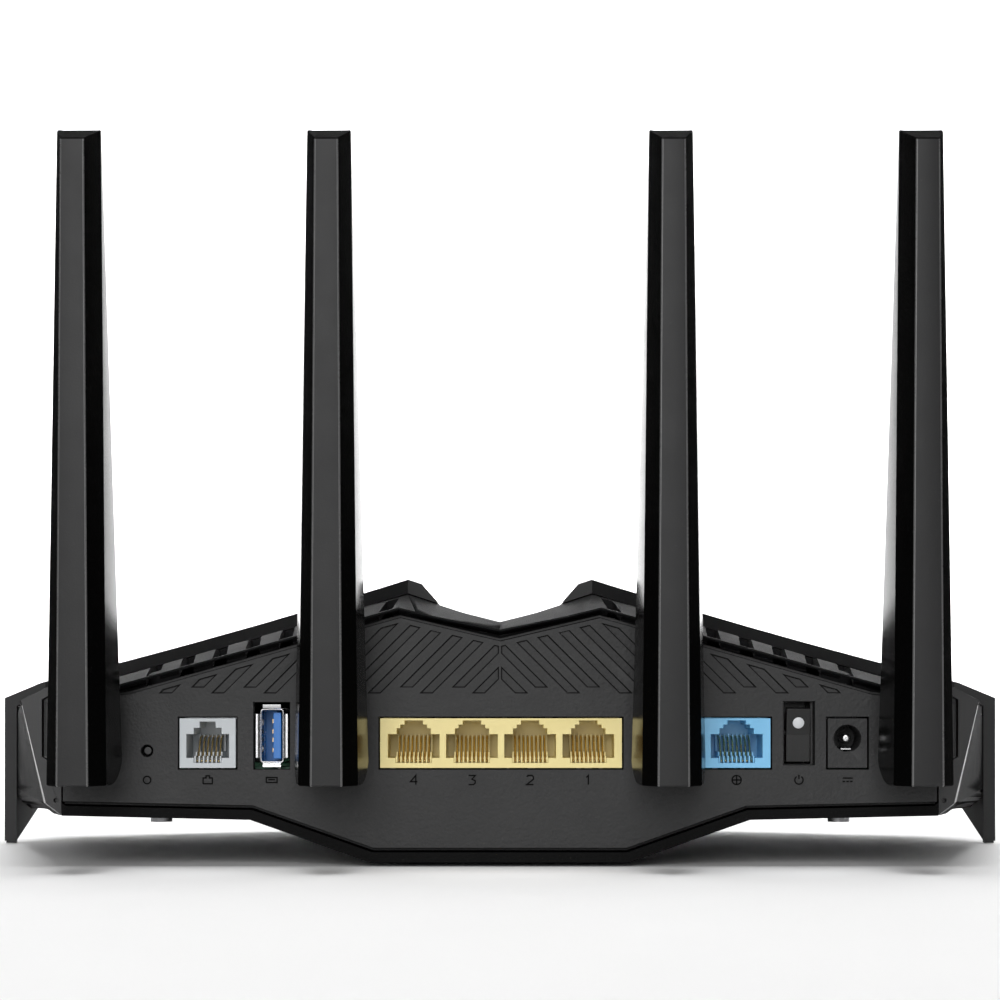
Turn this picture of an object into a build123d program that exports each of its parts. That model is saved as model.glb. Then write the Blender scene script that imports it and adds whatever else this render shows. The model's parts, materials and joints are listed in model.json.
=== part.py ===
from build123d import *
import math
import os

os.makedirs("parts", exist_ok=True)

# ---------------------------------------------------------------- driving sizes (millimetres)
# +X right seen from the socket side, sockets face -Y, +Z up, table at Z = 0.
REAR_Y = -64.5  # outer face of the socket panel
HORN_Y = -40.0  # where the two raised wings start beside the centre valley
LEG_Y = 28.5  # rear rim of the two side legs, widest place of the router
BROW_Y = 60.0
NOSE_Y = 92.5
REAR_HALF, LEG_HALF, BROW_HALF, NOSE_HALF = 115.0, 133.7, 122.0, 58.0
KEEL_Z = 0.8
WALL = 2.4
NOSE_WALL = 2.6
PARTING_Z = 15.0  # where the top cover meets the tray
PANEL_T = 2.4
PANEL_HALF = 105.0
PANEL_GROOVE = 1.0
FLANGE_T = 1.0  # flange behind the grooves round the panel
COVER_LIP, LIP_ROOT = 0.3, 1.3  # thickness of the cover's rear lip at its edge and root
LIP_DEPTH = PANEL_T + FLANGE_T + 0.2
WING_GAP, WING_T = 0.3, 3.3
FIT = 0.3  # clearance between a piece and the window it shows through
SLIDE_FIT = 0.06  # radial clearance of a turning shaft
BOARD_TOP, BOARD_T = 23.5, 1.6
BOARD_Z = BOARD_TOP - BOARD_T

OUTER_ANT_X, INNER_ANT_X = 98.0, 39.8
SWIVEL_Z = 33.0
PIN_Y, PIN_Z, PIN_D = -82.9, 27.4, 3.0
ANT_REAR_Y, ANT_FOOT_Z, ANT_TOP_Z = -92.5, 20.0, 172.8
BARREL_D, BUSH_WALL = 11.0, 1.4

JACK_TOP = 35.4
RJ_PITCH, RJ_OPEN_W = 13.97, 12.4
LAN_X, LAN_W, JACK_DEPTH, JACK_MOUTH = 0.25, 58.0, 21.0, 13.0
WAN_X, WAN_W = 56.8, 16.2
DSL_X, DSL_W, DSL_OPEN_W = -70.15, 13.5, 10.2
USB_X, USB_Z = -54.8, 31.2
SWITCH_X, SWITCH_Z, SWITCH_W, SWITCH_H = 71.75, 31.85, 7.4, 15.2
DC_X, DC_Z, DC_W, DC_HOLE = 83.4, 30.6, 9.5, 6.45
RESET_X, RESET_Z, RESET_D = -84.7, 27.6, 2.8
BUTTON_X, BUTTON_Z, BUTTON_W, BUTTON_H = 38.0, 17.6, 9.0, 3.6

# half outlines of the hull, centre line first: keel, belly, side, shoulder, horn, valley
HULL = {
    REAR_Y: [(0, KEEL_Z), (31, KEEL_Z), (60, 11), (105, 12), (109, 15), (REAR_HALF, 39.8),
             (108.5, 43), (92, 43.4), (24.3, 62), (15.7, 59.9), (0, 56.7)],
    HORN_Y: [(0, KEEL_Z), (31, KEEL_Z), (60.5, 10.6), (111.5, 11.4), (115.5, 14.4), (120, 39.4),
             (113.2, 42.6), (95, 45.6), (23, 66.1), (15.7, 63.7), (0, 58.6)],
    LEG_Y: [(0, KEEL_Z), (31, KEEL_Z), (62, 9.6), (130, 9.6), (LEG_HALF, 12.6), (LEG_HALF, 37.8),
            (126, 41), (100, 47.5), (24, 66.5), (16.4, 65.4), (0, 61.3)],
    BROW_Y: [(0, 4), (29, 4), (58, 9.6), (114, 10.4), (118, 13.2), (BROW_HALF, 30),
             (114, 34.4), (88, 40), (21, 54), (14, 53), (0, 49.4)],
    NOSE_Y: [(0, 8), (18, 8), (36, 9.6), (52, 10.6), (55.5, 13), (NOSE_HALF, 21),
             (54, 24), (44, 26), (12, 31.5), (8, 31), (0, 29)],
}


def at_y(y):
    """Sketch plane facing the sockets: local x is X, local y is Z."""
    return Plane.XZ.offset(-y)


def at_x(x):
    """Side plane: local x is Y, local y is Z, extrudes towards +X."""
    return Plane.YZ.offset(x)


def half_outline(y):
    keys = sorted(HULL)
    low = max(k for k in keys[:-1] if k <= y)
    high = keys[keys.index(low) + 1]
    t = (y - low) / (high - low)
    return [(a[0] + (b[0] - a[0]) * t, a[1] + (b[1] - a[1]) * t)
            for a, b in zip(HULL[low], HULL[high])]


def grown(points, amount):
    """A closed outline moved outwards by one amount, with its corners kept sharp."""
    result = []
    for i, (x, z) in enumerate(points):
        (ax, az), (bx, bz) = points[i - 1], points[(i + 1) % len(points)]
        into, out = math.hypot(x - ax, z - az), math.hypot(bx - x, bz - z)
        n1 = ((z - az) / into, -(x - ax) / into)
        n2 = ((bz - z) / out, -(bx - x) / out)
        reach = amount / (1 + n1[0] * n2[0] + n1[1] * n2[1])
        result.append((x + reach * (n1[0] + n2[0]), z + reach * (n1[1] + n2[1])))
    return result


def outline(y, grow=0.0):
    """Closed hull outline at one depth, anticlockwise seen from the sockets."""
    half = half_outline(y)
    ring = half + [(-x, z) for x, z in reversed(half[1:-1])]
    return grown(ring, grow) if grow else ring


def hull(grow=0.0, first=REAR_Y, last=NOSE_Y):
    """The hull's outside, grown or shrunk by one amount all round."""
    stations = [first] + [y for y in sorted(HULL) if first < y < last] + [last]
    with BuildPart() as body:
        for y in stations:
            with BuildSketch(at_y(y)):
                with BuildLine():
                    Polyline(*outline(y, grow), close=True)
                make_face()
        loft(ruled=True)
    return body.part


def save(part, label):
    part.label = label
    export_step(part, f"parts/{label}.step")


def block(x, y, z, x2, y2, z2):
    with BuildPart() as solid:
        with Locations(((x + x2) / 2, (y + y2) / 2, (z + z2) / 2)):
            Box(abs(x2 - x), abs(y2 - y), abs(z2 - z))
    return solid.part


OUTSIDE = hull()
INSIDE = hull(-WALL, last=NOSE_Y - NOSE_WALL)
CORNER_Y = -58.5  # front face of the corner bezels
CORNERS = (block(-140, REAR_Y - 1, 0, -PANEL_HALF - FIT + 0.1, CORNER_Y, 60)
           + block(PANEL_HALF + FIT - 0.1, REAR_Y - 1, 0, 140, CORNER_Y, 60))

CASE_POSTS = [(-84, -44), (84, -44), (-84, 30), (84, 30)]
BOARD_POSTS = [(-66, -30), (66, -30), (-66, 34), (66, 34)]
POST_D, SCREW_D, SCREW_HEAD_D, SCREW_HEAD_H = 7.0, 2.5, 5.4, 1.8
FLOOR_Z = 14.0

# ---------------------------------------------------------------- tray
with BuildPart() as bottom_case:
    add(OUTSIDE - INSIDE)
    split(bisect_by=Plane.XY.offset(PARTING_Z), keep=Keep.BOTTOM)
    add(CORNERS, mode=Mode.SUBTRACT)
    # bosses for the board, ended at the board's lower face
    with BuildSketch(Plane.XY.offset(FLOOR_Z - 3)):
        with Locations(*BOARD_POSTS):
            Circle(POST_D / 2)
    extrude(amount=BOARD_Z - FLOOR_Z + 3)
    with Locations(*[(x, y, BOARD_Z) for x, y in BOARD_POSTS]):
        Hole(SCREW_D / 2, depth=6)
    # counterbored holes for the case screws
    with BuildSketch(Plane.XY.offset(6)):
        with Locations(*CASE_POSTS):
            Circle(SCREW_D / 2 + 0.3)
    extrude(amount=12, mode=Mode.SUBTRACT)
    with BuildSketch(Plane.XY.offset(6)):
        with Locations(*CASE_POSTS):
            Circle(SCREW_HEAD_D / 2 + FIT)
    extrude(amount=5.4, mode=Mode.SUBTRACT)
    # cooling slots in the belly
    with BuildSketch(Plane.XY.offset(5)):
        for side in (-1, 1):
            with Locations((side * 92, -6)):
                with GridLocations(6, 26, 6, 2):
                    SlotOverall(20, 2.2, rotation=90)
    extrude(amount=12, mode=Mode.SUBTRACT)
    # shallow seats for the keel feet
    with BuildSketch(Plane.XY.offset(KEEL_Z - 1)):
        with GridLocations(46, 70, 2, 2):
            Circle(5.2)
    extrude(amount=1.6, mode=Mode.SUBTRACT)
save(bottom_case.part, "bottom_case")

# ---------------------------------------------------------------- top cover
VENTS, VENT_PITCH, VENT_W, VENT_EDGE = 8, 7.97, 3.4, 1.2


def wing_rim_y(x):
    """Depth of the wing's swept rear rim at a distance x from the centre."""
    return LEG_Y - (126 - x) / (126 - 23) * (LEG_Y - HORN_Y)


with BuildPart() as top_cover:
    add(OUTSIDE - INSIDE)
    split(bisect_by=Plane.XY.offset(PARTING_Z), keep=Keep.TOP)
    add(CORNERS, mode=Mode.SUBTRACT)
    # sharp lip over the groove above the socket panel, its underside sloping into the shell
    for y, margin in ((REAR_Y, COVER_LIP), (REAR_Y + LIP_DEPTH, LIP_ROOT)):
        with BuildSketch(at_y(y)):
            with BuildLine():
                Polyline(*outline(REAR_Y, -margin), close=True)
            make_face()
            with Locations((0, PARTING_Z - 20)):
                Rectangle(2 * REAR_HALF, 40, mode=Mode.SUBTRACT)
    loft(ruled=True, mode=Mode.SUBTRACT)
    # leaning cooling vents in the strip behind each wing
    with BuildSketch(Plane.XY.offset(36)):
        for side in (-1, 1):
            for i in range(VENTS):
                base = 85.1 - VENT_PITCH * i
                lean = 6.1 - 7.3 * i / (VENTS - 1)
                end = wing_rim_y(base + lean) - 6
                with BuildLine():
                    Polyline((side * base, REAR_Y + VENT_EDGE),
                             (side * (base - VENT_W), REAR_Y + VENT_EDGE),
                             (side * (base + lean - VENT_W + 0.4), end), (side * (base + lean), end),
                             close=True)
                make_face()
    extrude(amount=40, mode=Mode.SUBTRACT)
    # windows for the light bar and the two front buttons
    with BuildSketch(at_y(NOSE_Y)):
        with Locations((0, 20.5)):
            Rectangle(60 + 2 * SLIDE_FIT, 3 + 2 * SLIDE_FIT)
        with Locations((-BUTTON_X, BUTTON_Z), (BUTTON_X, BUTTON_Z)):
            RectangleRounded(BUTTON_W + 2 * FIT, BUTTON_H + 2 * FIT, 1.2)
    extrude(amount=8, both=True, mode=Mode.SUBTRACT)

with BuildPart() as posts:
    with BuildSketch(Plane.XY.offset(FLOOR_Z + 0.2)):
        with Locations(*CASE_POSTS):
            Circle(POST_D / 2)
    extrude(amount=60)
    add(hull(-WALL / 2), mode=Mode.INTERSECT)
    with BuildSketch(Plane.XY.offset(FLOOR_Z)):
        with Locations(*CASE_POSTS):
            Circle(SCREW_D / 2)
    extrude(amount=12, mode=Mode.SUBTRACT)
with BuildPart() as cover_with_posts:
    add(top_cover.part)
    add(posts.part)
save(cover_with_posts.part, "top_cover")

# ---------------------------------------------------------------- wings with their legs
LEG_TIP_Z = 0.6
# depth, half width and height of the wing's lower inner edge
INNER_BEVEL_W, INNER_BEVEL_H, INNER_CLEAR = 3.7, 4.2, 9.0
WING_INNER = [(HORN_Y - 1, 15.7, 64.4), (LEG_Y, 16.6, 65.8), (BROW_Y, 12.7, 53.0), (91, 8.9, 31.4)]
wing_layer = hull(WING_GAP + WING_T) - hull(WING_GAP)
for side, name in ((-1, "left_wing"), (1, "right_wing")):
    with BuildPart() as wing:
        add(wing_layer)
        # plan outline: swept rear rim, wing tip, front edge, inner edge beside the valley
        with BuildSketch(Plane.XY):
            with BuildLine():
                Polyline((side * 15.7, HORN_Y), (side * 23, HORN_Y), (side * 126, LEG_Y),
                         (side * 145, LEG_Y), (side * 145, 75), (side * 64, 90), (side * 9, 90),
                         (side * 16.6, LEG_Y), close=True)
            make_face()
        extrude(amount=100, mode=Mode.INTERSECT)
        # lower edge sweeping up from the leg to the nose
        with BuildSketch(at_x(0)):
            with BuildLine():
                Polyline((HORN_Y - 1, -20), (HORN_Y - 1, 14), (44, 14), (96, 27), (96, -20), close=True)
            make_face()
        extrude(amount=160, both=True, mode=Mode.SUBTRACT)
        # broad chamfer along the inner edge beside the valley
        for y, inner, low in WING_INNER:
            outer, top = inner + INNER_BEVEL_W, low + INNER_CLEAR
            with BuildSketch(at_y(y)):
                with BuildLine():
                    Polyline((side * (inner - 1), low), (side * inner, low),
                             (side * outer, low + INNER_BEVEL_H), (side * outer, top),
                             (side * (inner - 1), top), close=True)
                make_face()
        loft(ruled=True, mode=Mode.SUBTRACT)
        # pointed leg below the wing tip
        inner = LEG_HALF + WING_GAP
        back = inner - (LEG_HALF - BROW_HALF) * (44 - LEG_Y) / (BROW_Y - LEG_Y)
        with BuildSketch(at_y(LEG_Y)):
            with BuildLine():
                Polyline((side * inner, LEG_TIP_Z), (side * (inner + WING_T), LEG_TIP_Z),
                         (side * (inner + WING_T), 14.5), (side * inner, 14.5), close=True)
            make_face()
        with BuildSketch(at_y(44)):
            with BuildLine():
                Polyline((side * back, 13), (side * (back + WING_T), 13),
                         (side * (back + WING_T), 14.5), (side * back, 14.5), close=True)
            make_face()
        loft(ruled=True)
    save(wing.part, name)

with BuildPart() as leg_pads:
    for side in (-1, 1):
        with Locations((side * (LEG_HALF + WING_GAP + WING_T / 2 - 0.05), LEG_Y + 1.4, LEG_TIP_Z / 2)):
            Box(2.6, 2.4, LEG_TIP_Z)
save(leg_pads.part, "leg_pads")

with BuildPart() as rubber_feet:
    with BuildSketch(Plane.XY):
        with GridLocations(46, 70, 2, 2):
            Circle(5.0)
    extrude(amount=KEEL_Z + 0.6)
    chamfer(rubber_feet.edges().group_by(Axis.Z)[0], length=0.4)
save(rubber_feet.part, "rubber_feet")

# ---------------------------------------------------------------- corner bezels round the outer antennas
HEX_R = 13.8
for side, name in ((-1, "left_corner_trim"), (1, "right_corner_trim")):
    with BuildPart() as trim:
        add(OUTSIDE)
        with Locations((side * (PANEL_HALF + FIT + 20), (REAR_Y + CORNER_Y - FIT) / 2, 30)):
            Box(40, CORNER_Y - FIT - REAR_Y, 60, mode=Mode.INTERSECT)
        with BuildSketch(at_y(REAR_Y)):
            with Locations((side * OUTER_ANT_X, SWIVEL_Z)):
                RegularPolygon(HEX_R, 6, rotation=30)
        extrude(amount=-PANEL_T - FIT, mode=Mode.SUBTRACT)
        with BuildSketch(at_y(REAR_Y)):
            with Locations((side * 106.6, 15.7)):
                Circle(0.55)
        extrude(amount=-1.6, mode=Mode.SUBTRACT)
    save(trim.part, name)

# ---------------------------------------------------------------- socket panel
LOWER = outline(REAR_Y, -(WALL + PANEL_GROOVE))
PANEL_RIGHT = [LOWER[1], LOWER[2], (PANEL_HALF, LOWER[3][1]), (PANEL_HALF, 39.6), (89.3, 41.2), (24, 59.6)]
PANEL = PANEL_RIGHT + [(0, 54)] + [(-x, z) for x, z in reversed(PANEL_RIGHT)]
STRIPE_W, STRIPE_PITCH, STRIPE_DEPTH = 2.8, 12.52, 0.55
STRIPE_TOP_GAP = 1.3
HEX_GAP = 0.7  # groove between the panel's pointed ends and the bezels
END_TOP = PANEL_RIGHT[3][1] - 0.4
END_X = OUTER_ANT_X + HEX_R * math.cos(math.pi / 6) - HEX_GAP
END_DROP = (END_X - OUTER_ANT_X) * math.tan(math.pi / 6)
END_ROOT = END_DROP + (END_X - PANEL_HALF) * math.tan(math.pi / 6)


def stripe(x, z, length):
    """A 45 degree bar leaning to the centre from its lower outer corner."""
    return [(-x, z), (-x + STRIPE_W, z), (-x + STRIPE_W + length, z + length), (-x + length, z + length)]


with BuildPart() as rear_panel:
    with BuildSketch(at_y(REAR_Y)):
        with BuildLine():
            Polyline(*PANEL, close=True)
        make_face()
        # pointed ends that reach into the bezels' hexagonal recesses
        for side in (-1, 1):
            with BuildLine():
                Polyline((side * (PANEL_HALF - 1), END_TOP), (side * END_X, END_TOP),
                         (side * END_X, SWIVEL_Z - END_DROP),
                         (side * PANEL_HALF, SWIVEL_Z - END_ROOT),
                         (side * (PANEL_HALF - 1), SWIVEL_Z - END_ROOT), close=True)
            make_face()
    extrude(amount=-PANEL_T)
    # flange behind the grooves
    with BuildSketch(at_y(REAR_Y + PANEL_T)):
        with BuildLine():
            Polyline(*grown(PANEL, 0.7), close=True)
        make_face()
        with Locations((0, 60)):
            Rectangle(2 * PANEL_HALF + 2, 120, mode=Mode.INTERSECT)
        for side in (-1, 1):
            with Locations((side * (PANEL_HALF + 5), 30)):
                Rectangle(10, 60, mode=Mode.SUBTRACT)
    extrude(amount=-FLANGE_T)
    with BuildSketch(at_y(REAR_Y)):
        with Locations((LAN_X, (BOARD_TOP + JACK_TOP) / 2)):
            Rectangle(LAN_W + 2 * FIT, JACK_TOP - BOARD_TOP + 2 * FIT)
        with Locations((WAN_X, (BOARD_TOP + JACK_TOP) / 2)):
            Rectangle(WAN_W + 2 * FIT, JACK_TOP - BOARD_TOP + 2 * FIT)
        with Locations((DSL_X, (BOARD_TOP + JACK_TOP) / 2)):
            Rectangle(DSL_W + 2 * FIT, JACK_TOP - BOARD_TOP + 2 * FIT)
        with Locations((USB_X, USB_Z)):
            Rectangle(8.6, 16.0)
        with Locations((SWITCH_X, SWITCH_Z)):
            Rectangle(SWITCH_W, SWITCH_H)
        with Locations((DC_X, (BOARD_TOP + JACK_TOP) / 2)):
            Rectangle(DC_W + 2 * FIT, JACK_TOP - BOARD_TOP + 2 * FIT)
        with Locations((RESET_X, RESET_Z)):
            Circle(RESET_D / 2)
        with Locations(*[(x, SWIVEL_Z) for x in (-OUTER_ANT_X, -INNER_ANT_X, INNER_ANT_X, OUTER_ANT_X)]):
            Circle(BARREL_D / 2 + 0.4)
    extrude(amount=-5, mode=Mode.SUBTRACT)
    # shallow slanted bars above the sockets, mirrored about the centre
    with BuildSketch(at_y(REAR_Y)):
        for n in range(7):
            for x, z in ((6.5, 41.5), (11.3, 42.9)):
                if n == 6 and z > 42:
                    continue
                with BuildLine():
                    Polyline(*stripe(x + STRIPE_PITCH * n, z, 25), close=True)
                make_face()
        with BuildLine():
            Polyline((-100, 37), (-0.4, 37), (-0.4, 54 - STRIPE_TOP_GAP), (-24, 59.6 - STRIPE_TOP_GAP),
                     (-89.3, 41.2 - STRIPE_TOP_GAP), close=True)
        make_face(mode=Mode.INTERSECT)
        mirror(about=Plane.YZ)
    extrude(amount=-STRIPE_DEPTH, mode=Mode.SUBTRACT)
save(rear_panel.part, "rear_panel")

# ---------------------------------------------------------------- circuit board and what it carries
with BuildPart() as main_board:
    with BuildSketch(Plane.XY.offset(BOARD_Z)):
        with Locations((0, -6)):
            Rectangle(188, 104)
        with Locations(*CASE_POSTS):
            Circle(POST_D / 2 + FIT, mode=Mode.SUBTRACT)
        with Locations(*BOARD_POSTS):
            Circle(SCREW_D / 2 + 0.2, mode=Mode.SUBTRACT)
    extrude(amount=BOARD_T)
save(main_board.part, "main_board")

with BuildPart() as board_screws:
    with BuildSketch(Plane.XY.offset(BOARD_TOP)):
        with Locations(*BOARD_POSTS):
            Circle(SCREW_HEAD_D / 2)
    extrude(amount=SCREW_HEAD_H)
    with BuildSketch(Plane.XY.offset(BOARD_TOP)):
        with Locations(*BOARD_POSTS):
            Circle(SCREW_D / 2)
    extrude(amount=-BOARD_T - 5)
    with BuildSketch(Plane.XY.offset(BOARD_TOP + SCREW_HEAD_H)):
        with Locations(*BOARD_POSTS):
            Rectangle(3.0, 0.7)
            Rectangle(0.7, 3.0)
    extrude(amount=-0.9, mode=Mode.SUBTRACT)
save(board_screws.part, "board_screws")

CASE_SEAT_Z = 11.4  # bottom of the counterbores in the belly
with BuildPart() as case_screws:
    with BuildSketch(Plane.XY.offset(CASE_SEAT_Z)):
        with Locations(*CASE_POSTS):
            Circle(SCREW_HEAD_D / 2)
    extrude(amount=-SCREW_HEAD_H)
    with BuildSketch(Plane.XY.offset(CASE_SEAT_Z)):
        with Locations(*CASE_POSTS):
            Circle(SCREW_D / 2)
    extrude(amount=13)
    with BuildSketch(Plane.XY.offset(CASE_SEAT_Z - SCREW_HEAD_H)):
        with Locations(*CASE_POSTS):
            Rectangle(3.0, 0.7)
            Rectangle(0.7, 3.0)
    extrude(amount=0.9, mode=Mode.SUBTRACT)
save(case_screws.part, "case_screws")

CANS = [(-22, -12, 36, 30), (34, -8, 40, 34)]  # centre x, centre y, width, depth
CAN_H, CAN_T = 2.2, 0.3
with BuildPart() as shield_cans:
    for x, y, w, d in CANS:
        with Locations((x, y, BOARD_TOP + CAN_H / 2)):
            Box(w, d, CAN_H)
        with Locations((x, y, BOARD_TOP + (CAN_H - CAN_T) / 2)):
            Box(w - 2 * CAN_T, d - 2 * CAN_T, CAN_H - CAN_T, mode=Mode.SUBTRACT)
save(shield_cans.part, "shield_cans")

with BuildPart() as chips:
    for x, y, w, d in CANS:
        with BuildSketch(Plane.XY.offset(BOARD_TOP)):
            with Locations((x, y)):
                Rectangle(w * 0.5, d * 0.5)
        extrude(amount=1.2)
    with BuildSketch(Plane.XY.offset(BOARD_TOP)):
        with Locations((-60, -5), (-60, 14), (70, 12)):
            Rectangle(12, 12)
    extrude(amount=1.2)
save(chips.part, "chips")

SINK_Z = BOARD_TOP + CAN_H + 0.6
with BuildPart() as thermal_pads:
    with BuildSketch(Plane.XY.offset(BOARD_TOP + CAN_H)):
        with Locations(*[(x, y) for x, y, _, _ in CANS]):
            Rectangle(24, 20)
    extrude(amount=0.6)
save(thermal_pads.part, "thermal_pads")

SINK_X, SINK_Y, SINK_W, SINK_D, FIN_H, FIN_T = 7.0, -10.0, 98.0, 36.0, 11.0, 1.2
with BuildPart() as heatsink:
    with Locations((SINK_X, SINK_Y, SINK_Z + 1)):
        Box(SINK_W, SINK_D, 2)
    with Locations((SINK_X, SINK_Y, SINK_Z + 2)):
        with GridLocations(SINK_W / 17, 1, 17, 1):
            Box(FIN_T, SINK_D, FIN_H, align=(Align.CENTER, Align.CENTER, Align.MIN))
save(heatsink.part, "heatsink")

with BuildPart() as capacitors:
    with BuildSketch(Plane.XY.offset(BOARD_TOP)):
        with Locations((76, -36), (86, -34 + 8), (-78, -20), (-86, -14), (-78, -8)):
            Circle(3.2)
    extrude(amount=9)
    chamfer(capacitors.edges().group_by(Axis.Z)[-1], length=0.4)
save(capacitors.part, "capacitors")

with BuildPart() as antenna_bushes:
    with BuildSketch(at_y(REAR_Y + PANEL_T + FLANGE_T)):
        with Locations(*[(x, SWIVEL_Z) for x in (-OUTER_ANT_X, -INNER_ANT_X, INNER_ANT_X, OUTER_ANT_X)]):
            Circle(BARREL_D / 2 + BUSH_WALL)
            Circle(BARREL_D / 2 + SLIDE_FIT, mode=Mode.SUBTRACT)
    extrude(amount=-3.0)
save(antenna_bushes.part, "antenna_bushes")

# ---------------------------------------------------------------- network and phone sockets
FACE_Y = REAR_Y - 0.2  # faces of the coloured sockets stand just proud of the panel
CONTACT_W, CONTACT_T = 0.46, 0.35


def mouth(width, steps):
    """Opening of a modular socket: square mouth and a stepped latch slot above it."""
    half = width / 2
    points = [(-half, 25.9), (half, 25.9), (half, 31.6)]
    for w, z in steps:
        points += [(w, points[-1][1]), (w, z)]
    return points + [(-x, z) for x, z in reversed(points[2:])]


RJ45_STEPS = [(4.1, 33.0), (3.2, 33.9), (2.2, 34.9)]
RJ11_STEPS = [(3.3, 33.1), (1.9, 34.6)]


def socket(body, x, width, mouths, open_w, steps, comb):
    """Socket body, one mouth per connector, and a comb of wire slots along each lower edge."""
    with BuildPart() as jack:
        with Locations((x, FACE_Y + JACK_DEPTH / 2, (BOARD_TOP + JACK_TOP) / 2)):
            Box(width, JACK_DEPTH, JACK_TOP - BOARD_TOP)
        for centre in mouths:
            with BuildSketch(at_y(FACE_Y)):
                with BuildLine():
                    Polyline(*[(centre + a, z) for a, z in mouth(open_w, steps)], close=True)
                make_face()
            extrude(amount=-JACK_MOUTH, mode=Mode.SUBTRACT)
            with BuildSketch(at_y(FACE_Y)):
                with Locations((centre, 25.4)):
                    Rectangle(comb * 1.02 + 0.5, 1.4)
            extrude(amount=-3.2, mode=Mode.SUBTRACT)
    save(jack.part, body)


def contacts(name, mouths, count):
    """Sprung wires rising backwards from each socket's lower lip."""
    half = CONTACT_T / 2
    top = [(FACE_Y + 1.0, 25.0), (FACE_Y + 2.4, 25.2), (FACE_Y + 3.0, 26.1), (FACE_Y + 8.2, 30.2),
           (FACE_Y + JACK_MOUTH, 31.0)]
    with BuildPart() as wires:
        for centre in mouths:
            for i in range(count):
                with BuildSketch(at_x(centre + (i - (count - 1) / 2) * 1.02 - CONTACT_W / 2)):
                    with BuildLine():
                        Polyline(*top, *[(y, z + 2 * half) for y, z in reversed(top)], close=True)
                    make_face()
                extrude(amount=CONTACT_W)
    save(wires.part, name)


LAN_MOUTHS = [LAN_X + (i - 1.5) * RJ_PITCH for i in range(4)]
socket("lan_jack_block", LAN_X, LAN_W, LAN_MOUTHS, RJ_OPEN_W, RJ45_STEPS, 8)
contacts("lan_contacts", LAN_MOUTHS, 8)
socket("wan_jack", WAN_X, WAN_W, [WAN_X], RJ_OPEN_W, RJ45_STEPS, 8)
contacts("wan_contacts", [WAN_X], 8)
socket("dsl_jack", DSL_X, DSL_W, [DSL_X], DSL_OPEN_W, RJ11_STEPS, 6)
contacts("dsl_contacts", [DSL_X], 6)

# ---------------------------------------------------------------- upright USB socket
USB_OUT_W, USB_OUT_H, USB_SHEET, USB_LONG = 5.7, 13.1, 0.3, 17.0
with BuildPart() as usb_shell:
    with Locations((USB_X, REAR_Y + 1.2 + USB_LONG / 2, USB_Z)):
        Box(USB_OUT_W, USB_LONG, USB_OUT_H)
    with BuildSketch(at_y(REAR_Y + 1.2)):
        with Locations((USB_X, USB_Z)):
            Rectangle(USB_OUT_W, USB_OUT_H)
    with BuildSketch(at_y(REAR_Y + 0.2)):
        with Locations((USB_X, USB_Z)):
            Rectangle(7.8, 15.2)
    loft(ruled=True)
    with BuildSketch(at_y(REAR_Y + 1.2)):
        with Locations((USB_X, USB_Z)):
            Rectangle(USB_OUT_W - 2 * USB_SHEET, USB_OUT_H - 2 * USB_SHEET)
    extrude(amount=-USB_LONG + USB_SHEET, mode=Mode.SUBTRACT)
    with BuildSketch(at_y(REAR_Y + 1.2)):
        with Locations((USB_X, USB_Z)):
            Rectangle(USB_OUT_W - 2 * USB_SHEET, USB_OUT_H - 2 * USB_SHEET)
    with BuildSketch(at_y(REAR_Y + 0.2)):
        with Locations((USB_X, USB_Z)):
            Rectangle(7.8 - 2 * USB_SHEET, 15.2 - 2 * USB_SHEET)
    loft(ruled=True, mode=Mode.SUBTRACT)
save(usb_shell.part, "usb_shell")

TONGUE_X, TONGUE_T = USB_X + 1.05, 1.85
with BuildPart() as usb_tongue:
    with Locations((TONGUE_X, REAR_Y + 3.0, USB_Z)):
        Box(TONGUE_T, 9.0, 11.1, align=(Align.CENTER, Align.MIN, Align.CENTER))
    with Locations((USB_X, REAR_Y + 12.0, USB_Z)):
        Box(USB_OUT_W - 2 * USB_SHEET - 0.02, 5.8, USB_OUT_H - 2 * USB_SHEET - 0.02,
            align=(Align.CENTER, Align.MIN, Align.CENTER))
save(usb_tongue.part, "usb_tongue")

with BuildPart() as usb_contacts:
    with Locations(*[(TONGUE_X - TONGUE_T / 2 - 0.1, REAR_Y + 3.6, USB_Z + z)
                     for z in (-3.5, -1.0, 1.0, 3.5)]):
        Box(0.2, 7.0, 1.0, align=(Align.CENTER, Align.MIN, Align.CENTER))
save(usb_contacts.part, "usb_contacts")

# ---------------------------------------------------------------- power switch
ROCKER_W, ROCKER_H, ROCKER_Y = 5.7, 12.9, REAR_Y + 5.0
ROCKER_TILT = 8.0
SWITCH_BACK = REAR_Y + PANEL_T + FLANGE_T + 0.2
with BuildPart() as power_switch_housing:
    with Locations((SWITCH_X, SWITCH_BACK, SWITCH_Z)):
        Box(8.4, 15.0, 16.6, align=(Align.CENTER, Align.MIN, Align.CENTER))
    with Locations((SWITCH_X, SWITCH_BACK, SWITCH_Z)):
        Box(ROCKER_W + 2 * FIT, 9.4, 14.9, align=(Align.CENTER, Align.MIN, Align.CENTER), mode=Mode.SUBTRACT)
    # pivot stubs on the two side walls
    with BuildSketch(at_x(SWITCH_X - ROCKER_W / 2 - FIT)):
        with Locations((ROCKER_Y, SWITCH_Z)):
            Circle(0.8)
    extrude(amount=0.8)
    with BuildSketch(at_x(SWITCH_X + ROCKER_W / 2 + FIT)):
        with Locations((ROCKER_Y, SWITCH_Z)):
            Circle(0.8)
    extrude(amount=-0.8)
save(power_switch_housing.part, "power_switch_housing")

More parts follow.
